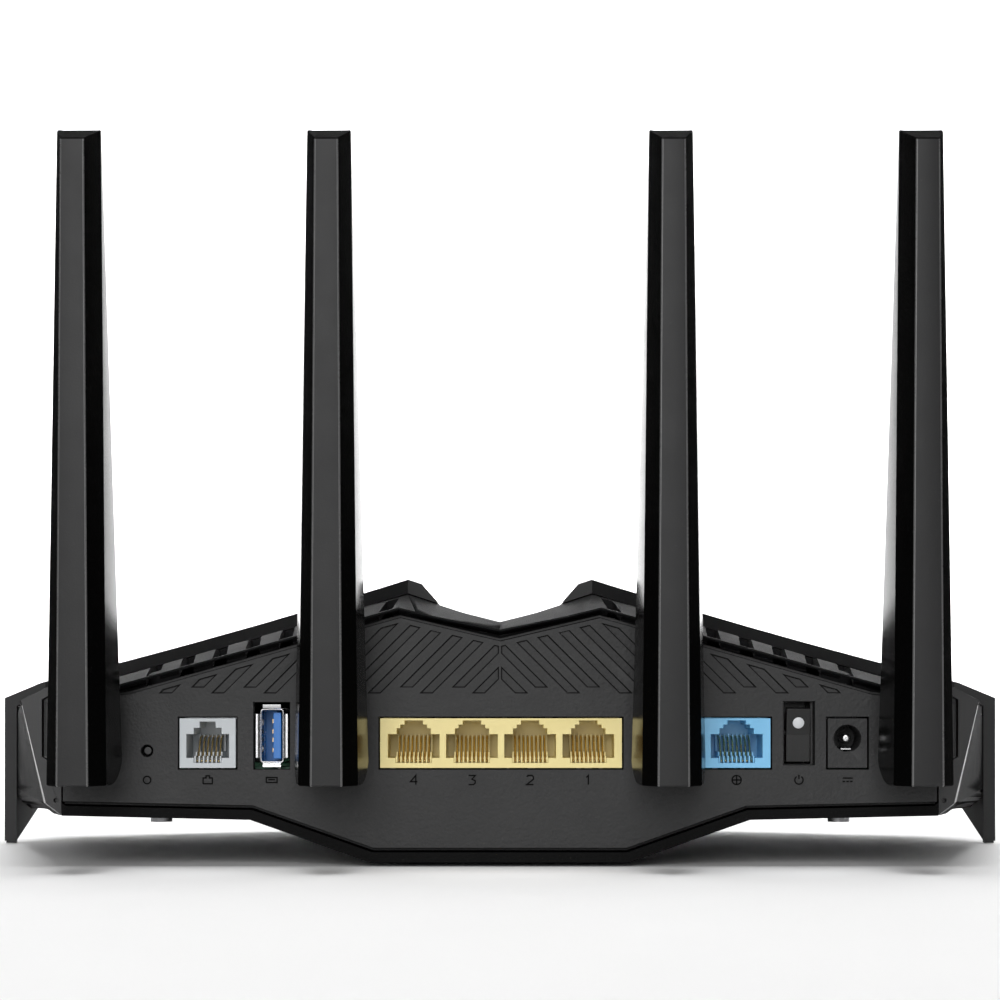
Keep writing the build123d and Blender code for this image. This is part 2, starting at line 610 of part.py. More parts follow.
half_h = ROCKER_H / 2
with BuildPart() as power_rocker:
    with BuildSketch(at_x(SWITCH_X - ROCKER_W / 2)):
        with BuildLine():
            Polyline((ROCKER_Y - 3.9, -half_h), (ROCKER_Y - 3.3, 0), (ROCKER_Y - 3.9, half_h),
                     (ROCKER_Y - 1.4, half_h), (ROCKER_Y + 2.2, 2.2), (ROCKER_Y + 2.2, -2.2),
                     (ROCKER_Y - 1.4, -half_h), close=True)
        make_face()
    extrude(amount=ROCKER_W)
    with BuildSketch(at_x(SWITCH_X - ROCKER_W / 2 - 1)):
        with Locations((ROCKER_Y, 0)):
            Circle(0.8 + SLIDE_FIT)
    extrude(amount=ROCKER_W + 2, mode=Mode.SUBTRACT)
rocker_at_rest = (Pos(0, ROCKER_Y, SWITCH_Z) * Rot(ROCKER_TILT, 0, 0) * Pos(0, -ROCKER_Y, 0)
                  * power_rocker.part)
save(rocker_at_rest, "power_rocker")

# ---------------------------------------------------------------- power inlet
DC_LONG, DC_DEEP = 14.0, 11.0
with BuildPart() as dc_jack_housing:
    with Locations((DC_X, REAR_Y, (BOARD_TOP + JACK_TOP) / 2)):
        Box(DC_W, DC_LONG, JACK_TOP - BOARD_TOP, align=(Align.CENTER, Align.MIN, Align.CENTER))
    with BuildSketch(at_y(REAR_Y)):
        with Locations((DC_X, DC_Z)):
            Circle(DC_HOLE / 2)
    extrude(amount=-DC_DEEP, mode=Mode.SUBTRACT)
save(dc_jack_housing.part, "dc_jack_housing")

with BuildPart() as dc_jack_contacts:
    with BuildSketch(at_y(REAR_Y + DC_DEEP)):
        with Locations((DC_X, DC_Z)):
            Circle(1.05)
    extrude(amount=8.6)
    fillet(dc_jack_contacts.edges().group_by(Axis.Y)[0], radius=0.6)
    with BuildSketch(at_x(DC_X - 1.2)):
        with BuildLine():
            Polyline((REAR_Y + 3, DC_Z - 2.75), (REAR_Y + 6, DC_Z - 2.2), (REAR_Y + DC_DEEP, DC_Z - 2.6),
                     (REAR_Y + DC_DEEP, DC_Z - 2.3), (REAR_Y + 6, DC_Z - 1.9), (REAR_Y + 3, DC_Z - 2.45),
                     close=True)
        make_face()
    extrude(amount=2.4)
save(dc_jack_contacts.part, "dc_jack_contacts")

# ---------------------------------------------------------------- push buttons
RESET_TRAVEL = 0.6
with BuildPart() as reset_plunger:
    with BuildSketch(at_y(REAR_Y + 1.4)):
        with Locations((RESET_X, RESET_Z)):
            Circle(RESET_D / 2 - 0.35)
    extrude(amount=-4.6)
save(reset_plunger.part, "reset_plunger")

BUTTON_TRAVEL = 0.6
for side, name in ((-1, "wps_button"), (1, "wifi_button")):
    with BuildPart() as push_button:
        with BuildSketch(at_y(NOSE_Y - 4.4)):
            with Locations((side * BUTTON_X, BUTTON_Z)):
                RectangleRounded(BUTTON_W, BUTTON_H, 1.0)
        extrude(amount=-4.0)
    save(push_button.part, name)

with BuildPart() as tact_switches:
    for side in (-1, 1):
        with Locations((side * BUTTON_X, NOSE_Y - 4.4 - BUTTON_TRAVEL, BUTTON_Z)):
            Box(7.0, 3.4, 3.4, align=(Align.CENTER, Align.MAX, Align.CENTER))
    with Locations((RESET_X, REAR_Y + 6.0 + RESET_TRAVEL, BOARD_TOP + 3.5)):
        Box(6.0, 3.6, 7.0, align=(Align.CENTER, Align.MIN, Align.CENTER))
save(tact_switches.part, "tact_switches")

with BuildPart() as front_board:
    with BuildSketch(at_y(NOSE_Y - 4.4 - BUTTON_TRAVEL - 3.4)):
        with Locations((0, 18.5)):
            Rectangle(88, 7)
    extrude(amount=1.2)
save(front_board.part, "front_board")

with BuildPart() as led_light_guide:
    with BuildSketch(at_y(NOSE_Y - 0.2)):
        with Locations((0, 20.5)):
            Rectangle(60, 3)
    extrude(amount=4.0)
save(led_light_guide.part, "led_light_guide")

with BuildPart() as led_chips:
    with BuildSketch(at_y(NOSE_Y - 4.4 - BUTTON_TRAVEL - 3.4)):
        with Locations((0, 20.5)):
            with GridLocations(8, 1, 7, 1):
                Rectangle(2, 1.6)
    extrude(amount=-0.9)
save(led_chips.part, "led_chips")

# ---------------------------------------------------------------- antennas
FORK_GAP, FORK_BACK, TONGUE_W = 6.4, 3.2, 5.8
PLATE_HALF, PLATE_LOW, PLATE_HIGH = 6.4, 22.5, 44.0
PLATE_FRONT, PLATE_REAR = REAR_Y - 0.5, -70.4
HEEL_Y, HEEL_Z, HEEL_R = -83.5, 31.0, 11.0  # the blade's lower far corner is rounded about this point
BLADE_BASE = dict(flat=7.2, width=13.8, shoulder=6.0, depth=20.0, flank=17.8, back=15.0, bevel=1.0)
BLADE_TIP = dict(flat=5.4, width=10.2, shoulder=9.6, depth=12.5, flank=10.2, back=6.6, bevel=1.8)
COVER_LOW, COVER_HIGH, COVER_T = 50.0, 160.0, 1.6
CAVITY_LOW, CAVITY_HIGH = 52.0, 140.0


def blade_at(z):
    t = (z - ANT_FOOT_Z) / (ANT_TOP_Z - ANT_FOOT_Z)
    return {k: BLADE_BASE[k] + (BLADE_TIP[k] - BLADE_BASE[k]) * t for k in BLADE_BASE}


def blade_outline(x, z):
    s = blade_at(z)
    right = [(s["flat"] / 2, 0), (s["width"] / 2, s["shoulder"]),
             (s["flank"] / 2, s["depth"] - s["bevel"]), (s["back"] / 2, s["depth"])]
    ring = right + [(-a, b) for a, b in reversed(right)]
    return [(x + a, ANT_REAR_Y + b) for a, b in ring]


def slab(x, z, margin, gap):
    """Rectangle of the blade's cover: a strip set into the blade's far face."""
    s = blade_at(z)
    half = s["back"] / 2 - margin
    far = ANT_REAR_Y + s["depth"]
    return [(x - half, far - gap), (x + half, far - gap), (x + half, far), (x - half, far)]


def stacked(levels, profile):
    with BuildPart() as column:
        for z in levels:
            with BuildSketch(Plane.XY.offset(z)):
                with BuildLine():
                    Polyline(*profile(z), close=True)
                make_face()
        loft(ruled=True)
    return column.part


def antenna(prefix, x):
    with BuildPart() as knuckle:
        with BuildSketch(at_y(PLATE_FRONT)):
            with Locations((x, (PLATE_LOW + PLATE_HIGH) / 2)):
                Rectangle(2 * PLATE_HALF, PLATE_HIGH - PLATE_LOW)
        extrude(amount=PLATE_FRONT - PLATE_REAR)
        fillet(knuckle.edges().filter_by(Axis.Y).group_by(Axis.Z)[0], radius=PLATE_HALF - 0.4)
        chamfer(knuckle.edges().filter_by(Axis.Y).group_by(Axis.Z)[-1], length=1.2)
        # tongue reaching into the blade's fork
        with BuildSketch(at_x(x - TONGUE_W / 2)):
            with Locations((PIN_Y, PIN_Z)):
                Circle(4.4)
            with BuildLine():
                Polyline((PIN_Y, PIN_Z - 4.4), (PLATE_REAR + 0.5, PIN_Z - 4.4), (PLATE_REAR + 0.5, 38),
                         (PIN_Y, PIN_Z + 4.4), close=True)
            make_face()
        extrude(amount=TONGUE_W)
        # hollow barrel that turns in the bush
        with BuildSketch(at_y(PLATE_FRONT)):
            with Locations((x, SWIVEL_Z)):
                Circle(BARREL_D / 2)
        extrude(amount=-8.0)
        with BuildSketch(at_y(REAR_Y + 7.0)):
            with Locations((x, SWIVEL_Z)):
                Circle(BARREL_D / 2 + 0.8)
        extrude(amount=-0.5)
        with BuildSketch(at_y(REAR_Y + 8.0)):
            with Locations((x, SWIVEL_Z)):
                Circle(2.2)
        extrude(amount=12, mode=Mode.SUBTRACT)
        with BuildSketch(at_x(x - TONGUE_W)):
            with Locations((PIN_Y, PIN_Z)):
                Circle(PIN_D / 2 + SLIDE_FIT)
        extrude(amount=2 * TONGUE_W, mode=Mode.SUBTRACT)
    save(knuckle.part, f"{prefix}_antenna_knuckle")

    with BuildPart() as pin:
        with BuildSketch(at_x(x - 6.2)):
            with Locations((PIN_Y, PIN_Z)):
                Circle(PIN_D / 2)
        extrude(amount=12.4)
    save(pin.part, f"{prefix}_antenna_pin")

    cover_levels = (COVER_LOW, COVER_HIGH)
    with BuildPart() as blade:
        add(stacked((ANT_FOOT_Z, ANT_TOP_Z), lambda z: blade_outline(x, z)))
        # sloping tip
        with BuildSketch(at_x(x)):
            with BuildLine():
                Polyline((ANT_REAR_Y - 2, ANT_TOP_Z - 5.1), (ANT_REAR_Y + 11, ANT_TOP_Z),
                         (ANT_REAR_Y + 11, ANT_TOP_Z + 3), (ANT_REAR_Y - 2, ANT_TOP_Z + 3), close=True)
            make_face()
        extrude(amount=10, both=True, mode=Mode.SUBTRACT)
        # fork round the tongue
        with BuildSketch(at_x(x)):
            with BuildLine():
                Polyline((ANT_REAR_Y + FORK_BACK, ANT_FOOT_Z - 1), (ANT_REAR_Y + FORK_BACK, 40),
                         (ANT_REAR_Y + 8, 45.5), (ANT_REAR_Y + 25, 45.5),
                         (ANT_REAR_Y + 25, ANT_FOOT_Z - 1), close=True)
            make_face()
        extrude(amount=FORK_GAP / 2, both=True, mode=Mode.SUBTRACT)
        # lower far corner rounded so that it clears the knuckle when folded
        with BuildSketch(at_x(x)):
            with Locations((HEEL_Y, HEEL_Z)):
                Rectangle(20, 20, align=(Align.MIN, Align.MAX))
                Circle(HEEL_R, mode=Mode.SUBTRACT)
        extrude(amount=10, both=True, mode=Mode.SUBTRACT)
        with BuildSketch(at_x(x - 6.2)):
            with Locations((PIN_Y, PIN_Z)):
                Circle(PIN_D / 2)
        extrude(amount=12.4, mode=Mode.SUBTRACT)
        add(stacked(cover_levels, lambda z: slab(x, z, 0.5, COVER_T)), mode=Mode.SUBTRACT)
        add(stacked((CAVITY_LOW, CAVITY_HIGH), lambda z: slab(x, z, 1.9, 9.0 - 0.03 * (z - CAVITY_LOW))),
            mode=Mode.SUBTRACT)
    save(blade.part, f"{prefix}_antenna_blade")

    save(stacked((COVER_LOW + 0.05, COVER_HIGH - 0.05), lambda z: slab(x, z, 0.55, COVER_T)),
         f"{prefix}_antenna_cover")

    with BuildPart() as radiator:
        with Locations((x, 0, (CAVITY_LOW + 118) / 2)):
            with Locations((0, ANT_REAR_Y + blade_at(118)["depth"] - COVER_T - 3.2, 0)):
                Box(3.6, 0.8, 118 - CAVITY_LOW - 0.2)
    save(radiator.part, f"{prefix}_antenna_radiator")


for prefix, x in (("far_left", -OUTER_ANT_X), ("mid_left", -INNER_ANT_X),
                  ("mid_right", INNER_ANT_X), ("far_right", OUTER_ANT_X)):
    antenna(prefix, x)

# coaxial leads from the barrels down to the board
LEAD_R = 0.6
with BuildPart() as antenna_leads:
    for x in (-OUTER_ANT_X, -INNER_ANT_X, INNER_ANT_X, OUTER_ANT_X):
        with BuildLine() as route:
            FilletPolyline((x, REAR_Y + 8.8, SWIVEL_Z), (x, REAR_Y + 21, SWIVEL_Z),
                           (x, REAR_Y + 24, BOARD_TOP + 0.1), radius=3.6)
        with BuildSketch(at_y(REAR_Y + 8.8)):
            with Locations((x, SWIVEL_Z)):
                Circle(LEAD_R)
        sweep(path=route.wires()[0])
save(antenna_leads.part, "antenna_leads")

with BuildPart() as label_plate:
    with BuildSketch(Plane.XY.offset(KEEL_Z - 0.2)):
        with Locations((0, -16)):
            RectangleRounded(34, 40, 1.5)
    extrude(amount=0.2)
save(label_plate.part, "label_plate")
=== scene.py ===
"""Looks of a desktop wireless router with four folding antennas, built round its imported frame."""

import json
import logging
import math
from dataclasses import dataclass, field
from enum import Enum
from typing import Any, Callable, Sequence

import bmesh
import bpy
import numpy as np
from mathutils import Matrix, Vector

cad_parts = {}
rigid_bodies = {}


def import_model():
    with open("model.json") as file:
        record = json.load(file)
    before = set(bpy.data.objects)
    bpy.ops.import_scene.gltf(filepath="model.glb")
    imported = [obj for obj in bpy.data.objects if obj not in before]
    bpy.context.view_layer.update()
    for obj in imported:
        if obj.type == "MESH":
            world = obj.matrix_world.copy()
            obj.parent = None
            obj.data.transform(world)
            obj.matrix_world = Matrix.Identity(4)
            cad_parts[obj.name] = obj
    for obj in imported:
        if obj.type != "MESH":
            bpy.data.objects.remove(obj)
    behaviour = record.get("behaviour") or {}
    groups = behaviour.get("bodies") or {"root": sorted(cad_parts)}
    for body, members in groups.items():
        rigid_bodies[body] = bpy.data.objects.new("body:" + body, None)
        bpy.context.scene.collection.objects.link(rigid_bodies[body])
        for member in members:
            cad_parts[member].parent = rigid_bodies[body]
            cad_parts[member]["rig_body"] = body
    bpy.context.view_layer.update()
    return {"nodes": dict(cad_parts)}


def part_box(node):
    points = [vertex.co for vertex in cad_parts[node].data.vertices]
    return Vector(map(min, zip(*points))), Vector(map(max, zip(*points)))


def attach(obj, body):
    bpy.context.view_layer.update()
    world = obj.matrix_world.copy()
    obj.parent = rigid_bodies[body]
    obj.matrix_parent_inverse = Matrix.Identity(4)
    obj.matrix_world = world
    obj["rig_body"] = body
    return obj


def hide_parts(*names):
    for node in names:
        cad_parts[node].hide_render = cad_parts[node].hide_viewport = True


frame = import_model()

MM = 0.001
PANEL_Y = -64.5 * MM  # outer face of the socket panel
SOCKET_PITCH = 13.97 * MM  # spacing of ganged network sockets
log = logging.getLogger("router")

Colour = tuple[float, float, float]


# ------------------------------------------------------------------ shader maths
class Value:
    """A socket of a material's node tree that can be used in Python arithmetic."""

    def __init__(self, graph: "Graph", socket: bpy.types.NodeSocket) -> None:
        """Keep the socket.

        Args:
            graph: The material the socket belongs to.
            socket: An output socket.
        """
        self.graph = graph
        self.socket = socket

    def _math(self, operation: str, first: Any, second: Any = 0.0, clamp: bool = False) -> "Value":
        """Add one Math node.

        Args:
            operation: Name of the Math operation.
            first: Left value.
            second: Right value.
            clamp: Whether the result stays between 0 and 1.

        Returns:
            The node's result.
        """
        settings = {"operation": operation, "use_clamp": clamp}
        node = self.graph.node("ShaderNodeMath", settings, {0: first, 1: second})
        return Value(self.graph, node.outputs[0])

    def __add__(self, other: Any) -> "Value":
        """Sum."""
        return self._math("ADD", self, other)

    def __radd__(self, other: Any) -> "Value":
        """Sum with a number on the left."""
        return self._math("ADD", other, self)

    def __sub__(self, other: Any) -> "Value":
        """Difference."""
        return self._math("SUBTRACT", self, other)

    def __rsub__(self, other: Any) -> "Value":
        """Difference with a number on the left."""
        return self._math("SUBTRACT", other, self)

    def __mul__(self, other: Any) -> "Value":
        """Product."""
        return self._math("MULTIPLY", self, other)

    def __rmul__(self, other: Any) -> "Value":
        """Product with a number on the left."""
        return self._math("MULTIPLY", other, self)

    def __truediv__(self, other: Any) -> "Value":
        """Quotient."""
        return self._math("DIVIDE", self, other)

    def __rtruediv__(self, other: Any) -> "Value":
        """Quotient with a number on the left."""
        return self._math("DIVIDE", other, self)

    def __pow__(self, other: Any) -> "Value":
        """Power."""
        return self._math("POWER", self, other)

    def over(self, edge: float, softness: float) -> "Value":
        """A soft step.

        Args:
            edge: Value at which the step starts.
            softness: Width of the ramp after it.

        Returns:
            0 below the edge, 1 above the edge plus the softness.
        """
        return self._math("MULTIPLY", self - edge, 1.0 / softness, clamp=True)

    def cosine(self) -> "Value":
        """Cosine of the value in radians."""
        return self._math("COSINE", self)


class Graph:
    """One material: a Principled shader and the nodes that feed it."""

    def __init__(self, name: str) -> None:
        """Start an empty material.

        Args:
            name: Name of the material.
        """
        self.material = bpy.data.materials.new(name)
        self.material.use_nodes = True
        self.tree = self.material.node_tree
        self.tree.nodes.clear()
        self.shader = self.node("ShaderNodeBsdfPrincipled")
        output = self.node("ShaderNodeOutputMaterial")
        self.tree.links.new(self.shader.outputs[0], output.inputs[0])
        self.place = self.node("ShaderNodeTexCoord").outputs["Object"]

    def node(self, kind: str, settings: dict[str, Any] | None = None,
             inputs: dict[Any, Any] | None = None) -> bpy.types.Node:
        """Add one node.

        Args:
            kind: The node's type.
            settings: Attributes set first; "stops" gives a ramp's positions and colours.
            inputs: Values or links by socket name or number.

        Returns:
            The new node.
        """
        node = self.tree.nodes.new(kind)
        for key, value in (settings or {}).items():
            if key == "stops":
                ramp = node.color_ramp
                for index, (position, colour) in enumerate(value):
                    stop = ramp.elements[index] if index < 2 else ramp.elements.new(position)
                    stop.position, stop.color = position, (*colour, 1.0)
            else:
                setattr(node, key, value)
        for key, value in (inputs or {}).items():
            self.feed(node.inputs[key], value)
        return node

    def feed(self, socket: bpy.types.NodeSocket, value: Any) -> None:
        """Link or set one input.

        Args:
            socket: The input.
            value: A Value, an output socket, a number or a tuple.
        """
        if isinstance(value, Value):
            self.tree.links.new(value.socket, socket)
        elif isinstance(value, bpy.types.NodeSocket):
            self.tree.links.new(value, socket)
        elif isinstance(value, tuple) and len(value) == 3 and socket.type == "RGBA":
            socket.default_value = (*value, 1.0)
        else:
            socket.default_value = value

    def set(self, **inputs: Any) -> None:
        """Feed the shader.

        Args:
            **inputs: Values by socket name, with underscores for spaces.
        """
        for key, value in inputs.items():
            self.feed(self.shader.inputs[key.replace("_", " ")], value)

    def stretched(self, scale: tuple[float, float, float]) -> bpy.types.NodeSocket:
        """Object coordinates scaled along each axis.

        Args:
            scale: Factor along X, Y and Z.

        Returns:
            The mapped coordinates.
        """
        return self.node("ShaderNodeMapping", None, {0: self.place, 3: scale}).outputs[0]

    def noise(self, size_mm: float, detail: float = 2.0, rough: float = 0.5,
              place: bpy.types.NodeSocket | None = None) -> Value:
        """Cloudy noise.

        Args:
            size_mm: Size of one blotch.
            detail: Octaves.
            rough: Strength of the finer octaves.
            place: Coordinates, by default the object's own.

        Returns:
            A value near 0.5.
        """
        inputs = {"Vector": place or self.place, "Scale": 1.0 / (size_mm * MM),
                  "Detail": detail, "Roughness": rough}
        return Value(self, self.node("ShaderNodeTexNoise", None, inputs).outputs[0])

    def cells(self, size_mm: float) -> Value:
        """Distance to the nearest of many scattered points.

        Args:
            size_mm: Spacing of the points.

        Returns:
            0 at a point, larger between them.
        """
        inputs = {"Vector": self.place, "Scale": 1.0 / (size_mm * MM)}
        return Value(self, self.node("ShaderNodeTexVoronoi", None, inputs).outputs[0])

    def blend(self, factor: Value, low: Colour, high: Colour) -> bpy.types.NodeSocket:
        """Mix two colours.

        Args:
            factor: 0 for the first, 1 for the second.
            low: First colour.
            high: Second colour.

        Returns:
            The mixed colour.
        """
        node = self.node("ShaderNodeMix", {"data_type": "RGBA"}, {0: factor, 6: low, 7: high})
        return node.outputs[2]

    def bump(self, height: Value, depth_mm: float) -> None:
        """Raise the surface by a height between 0 and 1.

        Args:
            height: The pattern.
            depth_mm: Depth of the pattern.
        """
        inputs = {"Height": height, "Distance": depth_mm * MM, "Strength": 1.0}
        self.set(Normal=self.node("ShaderNodeBump", None, inputs).outputs[0])


def lighter(colour: Colour, factor: float) -> Colour:
    """Brighten or darken a colour.

    Args:
        colour: The colour.
        factor: What each channel is multiplied by.

    Returns:
        The new colour, no channel above 1.
    """
    return tuple(min(1.0, c * factor) for c in colour)


@dataclass(frozen=True)
class Moulded:
    """Injection moulded plastic with a spark-eroded grain, faint handling marks and dust."""

    name: str
    colour: Colour
    roughness: float = 0.5
    grain_mm: float = 0.5
    grain_depth_mm: float = 0.03
    mottle: float = 0.12
    dust: float = 0.0
    coat: float = 0.0
    specular: float = 0.5

    def build(self) -> bpy.types.Material:
        """Make the material.

        Returns:
            The material.
        """
        g = Graph(self.name)
        clouds = g.noise(38.0, 3.0)
        grain = g.noise(self.grain_mm, 3.0, 0.65)
        pits = g.cells(self.grain_mm * 1.7)
        rubbed = g.noise(9.0, 4.0, 0.6)
        tone = (clouds - 0.5) * (2.0 * self.mottle) + (grain - 0.5) * self.mottle + 0.5
        colour = g.blend(tone.over(0.0, 1.0), lighter(self.colour, 0.72), lighter(self.colour, 1.3))
        specks = g.noise(1.1, 2.0).over(0.71, 0.05) * self.dust
        coloured = g.node("ShaderNodeMix", {"data_type": "RGBA"},
                          {0: specks, 6: colour, 7: (0.32, 0.31, 0.29)})
        g.set(Base_Color=coloured.outputs[2],
              Roughness=(rubbed - 0.5) * 0.12 + (grain - 0.5) * 0.1 + self.roughness,
              Specular_IOR_Level=self.specular, Coat_Weight=self.coat, Coat_Roughness=0.12)
        g.bump(grain * 0.7 + pits * 0.5, self.grain_depth_mm)
        return g.material


@dataclass(frozen=True)
class Drawn:
    """Metal sheet or bar with fine lines along one axis and duller handled places."""

    name: str
    colour: Colour
    roughness: float = 0.3
    along: tuple[float, float, float] = (1.0, 0.04, 1.0)
    tarnish: Colour = (0.3, 0.27, 0.22)

    def build(self) -> bpy.types.Material:
        """Make the material.

        Returns:
            The material.
        """
        g = Graph(self.name)
        lines = g.noise(0.25, 3.0, 0.6, g.stretched(self.along))
        spots = g.noise(3.0, 3.0).over(0.55, 0.25)
        colour = g.blend(spots * 0.35, self.colour, self.tarnish)
        g.set(Base_Color=colour, Metallic=1.0,
              Roughness=(lines - 0.5) * 0.25 + spots * 0.12 + self.roughness)
        g.bump(lines, 0.004)
        return g.material


@dataclass(frozen=True)
class Rubbery:
    """Matt rubber with a fine skin and pale scuffs."""

    name: str
    colour: Colour = (0.02, 0.02, 0.02)

    def build(self) -> bpy.types.Material:
        """Make the material.

        Returns:
            The material.
        """
        g = Graph(self.name)
        skin = g.noise(0.3, 3.0)
        scuff = g.noise(1.6, 4.0, 0.7).over(0.6, 0.2)
        g.set(Base_Color=g.blend(scuff * 0.4, self.colour, (0.09, 0.088, 0.085)),
              Roughness=(skin - 0.5) * 0.2 + 0.82)
        g.bump(skin, 0.02)
        return g.material


@dataclass(frozen=True)
class SolderMask:
    """Circuit board: green lacquer over copper tracks, with tinned pads."""

    name: str
    colour: Colour = (0.012, 0.09, 0.045)

    def build(self) -> bpy.types.Material:
        """Make the material.

        Returns:
            The material.
        """
        g = Graph(self.name)
        brick = g.node("ShaderNodeTexBrick", {"offset": 0.35, "squash": 2.0},
                       {"Vector": g.place, "Scale": 260.0, "Mortar Size": 0.03})
        tracks = Value(g, brick.outputs[1])
        pads = 1.0 - g.cells(2.4).over(0.28, 0.03)
        lacquer = g.blend(tracks * 0.7, self.colour, (0.03, 0.2, 0.09))
        coloured = g.node("ShaderNodeMix", {"data_type": "RGBA"},
                          {0: pads * 0.85, 6: lacquer, 7: (0.62, 0.6, 0.55)})
        g.set(Base_Color=coloured.outputs[2], Metallic=pads * 0.8, Roughness=0.42 - pads * 0.1)
        g.bump(tracks + pads, 0.03)
        return g.material


@dataclass(frozen=True)
class LightBar:
    """Milky light guide with a soft glow between darker dividers."""

    name: str
    colour: Colour = (0.55, 0.58, 0.62)
    glow: Colour = (0.75, 0.87, 1.0)

    def build(self) -> bpy.types.Material:
        """Make the material.

        Returns:
            The material.
        """
        g = Graph(self.name)
        milk = g.noise(2.0, 2.0)
        across = g.node("ShaderNodeSeparateXYZ", None, {0: g.place}).outputs[0]
        wave = Value(g, across) * (2.0 * math.pi / (8.0 * MM))
        spots = (wave.cosine() * 0.5 + 0.5) ** 3.0
        g.set(Base_Color=g.blend(milk, lighter(self.colour, 0.8), self.colour),
              Roughness=milk * 0.15 + 0.2, Emission_Color=g.blend(spots, (0.02, 0.02, 0.03), self.glow),
              Emission_Strength=0.5)
        g.bump(milk, 0.01)
        return g.material


class Palette:
    """Every finish of the router, made once."""

    def __init__(self) -> None:
        """Build all materials."""
        finishes = {
            # name, colour, roughness, grain mm, grain depth mm, mottle, dust, coat, specular
            "panel": Moulded("panel_black", (0.019, 0.019, 0.0195), 0.55, 0.5, 0.14, 0.22, 0.02, 0.0, 0.4),
            "cover": Moulded("cover_black", (0.009, 0.009, 0.0095), 0.68, 0.5, 0.14, 0.2, 0.02, 0.0, 0.10),
            "tray": Moulded("tray_black", (0.004, 0.004, 0.004), 0.6, 0.5, 0.1, 0.12, 0.02, 0.0, 0.07),
            "wing": Moulded("wing_black", (0.014, 0.014, 0.0145), 0.46, 0.25, 0.008, 0.10, 0.02, 0.0, 0.27),
            "trim": Moulded("trim_black", (0.014, 0.014, 0.0145), 0.32, 0.3, 0.004, 0.10, 0.0, 0.1, 0.4),
            "blade_face": Moulded("antenna_satin", (0.010, 0.010, 0.0105), 0.42, 0.35, 0.016, 0.10, 0.02,
                                  0.0, 0.27),
            # the grain is real; the near-black tone and almost no specular are painted shade on the
            # chamfers, corner roundings and tip
            "blade_side": Moulded("antenna_grained_painted_shade", (0.0015, 0.0015, 0.0015), 0.7, 0.55, 0.1, 0.2, 0.01,
                                  0.0, 0.01),
            "blade_gloss": Moulded("antenna_gloss", (0.004, 0.004, 0.004), 0.2, 0.3, 0.002, 0.1, 0.0,
                                   0.0, 0.22),
            # lighter grey painted highlight on the antenna's rear edge roundings and on the rocker's ridge
            "blade_edge": Moulded("painted_edge_highlight", (0.085, 0.085, 0.085), 0.28, 0.3, 0.004, 0.1),
            # near-black painted shade on the rear panel's edge roundings, standing for shade along its
            # edges, bars and socket mouths
            "seam": Moulded("painted_edge_shade", (0.002, 0.002, 0.002), 0.6, 0.3, 0.01, 0.1, 0.0, 0.0, 0.08),
            "knuckle": Moulded("knuckle_gloss", (0.012, 0.012, 0.012), 0.2, 0.3, 0.003, 0.10, 0.0, 0.3),
            "socket_black": Moulded("socket_black", (0.012, 0.012, 0.012), 0.34, 0.35, 0.01, 0.1, 0.0),
            "rocker": Moulded("rocker_black", (0.011, 0.011, 0.011), 0.34, 0.3, 0.01, 0.1, 0.02, 0.0, 0.35),
            "yellow": Moulded("socket_yellow", (0.90, 0.69, 0.30), 0.38, 0.5, 0.006, 0.05),
            "blue": Moulded("socket_blue", (0.20, 0.52, 0.88), 0.38, 0.5, 0.006, 0.05),
            "grey": Moulded("socket_grey", (0.50, 0.53, 0.55), 0.40, 0.5, 0.006, 0.05),
            "usb_blue": Moulded("tongue_blue", (0.02, 0.16, 0.50), 0.35, 0.4, 0.01, 0.06),
            "white": Moulded("inlay_white", (0.72, 0.74, 0.76), 0.4, 0.3, 0.005, 0.05),
            "acetal": Moulded("acetal_white", (0.6, 0.59, 0.55), 0.4, 0.3, 0.01, 0.05),
            "chip": Moulded("chip_black", (0.015, 0.015, 0.015), 0.6, 0.3, 0.02, 0.1),
            "mark": Moulded("mark_black", (0.0015, 0.0015, 0.0015), 0.6, 0.3, 0.01, 0.1, 0.0, 0.0, 0.06),
            "film": Moulded("blank_film", (0.4, 0.4, 0.41), 0.35, 0.8, 0.003, 0.05),
            "pad": Moulded("thermal_pad", (0.3, 0.34, 0.4), 0.8, 0.4, 0.03, 0.1),
            "steel": Drawn("bright_steel", (0.62, 0.62, 0.63), 0.24),
            "screw": Drawn("zinc_screw", (0.34, 0.34, 0.35), 0.38),
            "gold": Drawn("gold_contact", (0.86, 0.62, 0.26), 0.22, (1.0, 0.1, 1.0), (0.5, 0.33, 0.12)),
            "alu": Drawn("extruded_alu", (0.66, 0.67, 0.69), 0.4, (0.04, 1.0, 1.0), (0.5, 0.5, 0.5)),
            "rubber": Rubbery("foot_rubber"),
            "sleeve": Rubbery("lead_sleeve", (0.015, 0.015, 0.015)),
            "board": SolderMask("solder_mask"),
            "light": LightBar("light_guide"),
        }
        self.made = {key: finish.build() for key, finish in finishes.items()}

    def __getitem__(self, key: str) -> bpy.types.Material:
        """Look up a finish.

        Args:
            key: Its short name.

        Returns:
            The material.
        """
        return self.made[key]


# ------------------------------------------------------------------ mesh tools
def piece(name: str, points: np.ndarray, faces: Sequence[Sequence[int]],
          materials: Sequence[bpy.types.Material], smooth: bool = True) -> bpy.types.Object:
    """Make one mesh object.

    Args:
        name: The piece's name.
        points: Corners, n by 3, in metres.
        faces: Corner numbers of each face.
        materials: Its finishes; the first is used until faces say otherwise.
        smooth: Whether faces shade smoothly.

    Returns:
        The object, at the origin.
    """
    mesh = bpy.data.meshes.new(name)
    mesh.from_pydata(np.asarray(points, float).reshape(-1, 3).tolist(), [], [list(f) for f in faces])
    for material in materials:
        mesh.materials.append(material)
    shape = bmesh.new()
    shape.from_mesh(mesh)
    bmesh.ops.recalc_face_normals(shape, faces=shape.faces)
    shape.to_mesh(mesh)
    shape.free()
    mesh.polygons.foreach_set("use_smooth", np.full(len(mesh.polygons), smooth))
    obj = bpy.data.objects.new(name, mesh)
    bpy.context.scene.collection.objects.link(obj)
    return obj


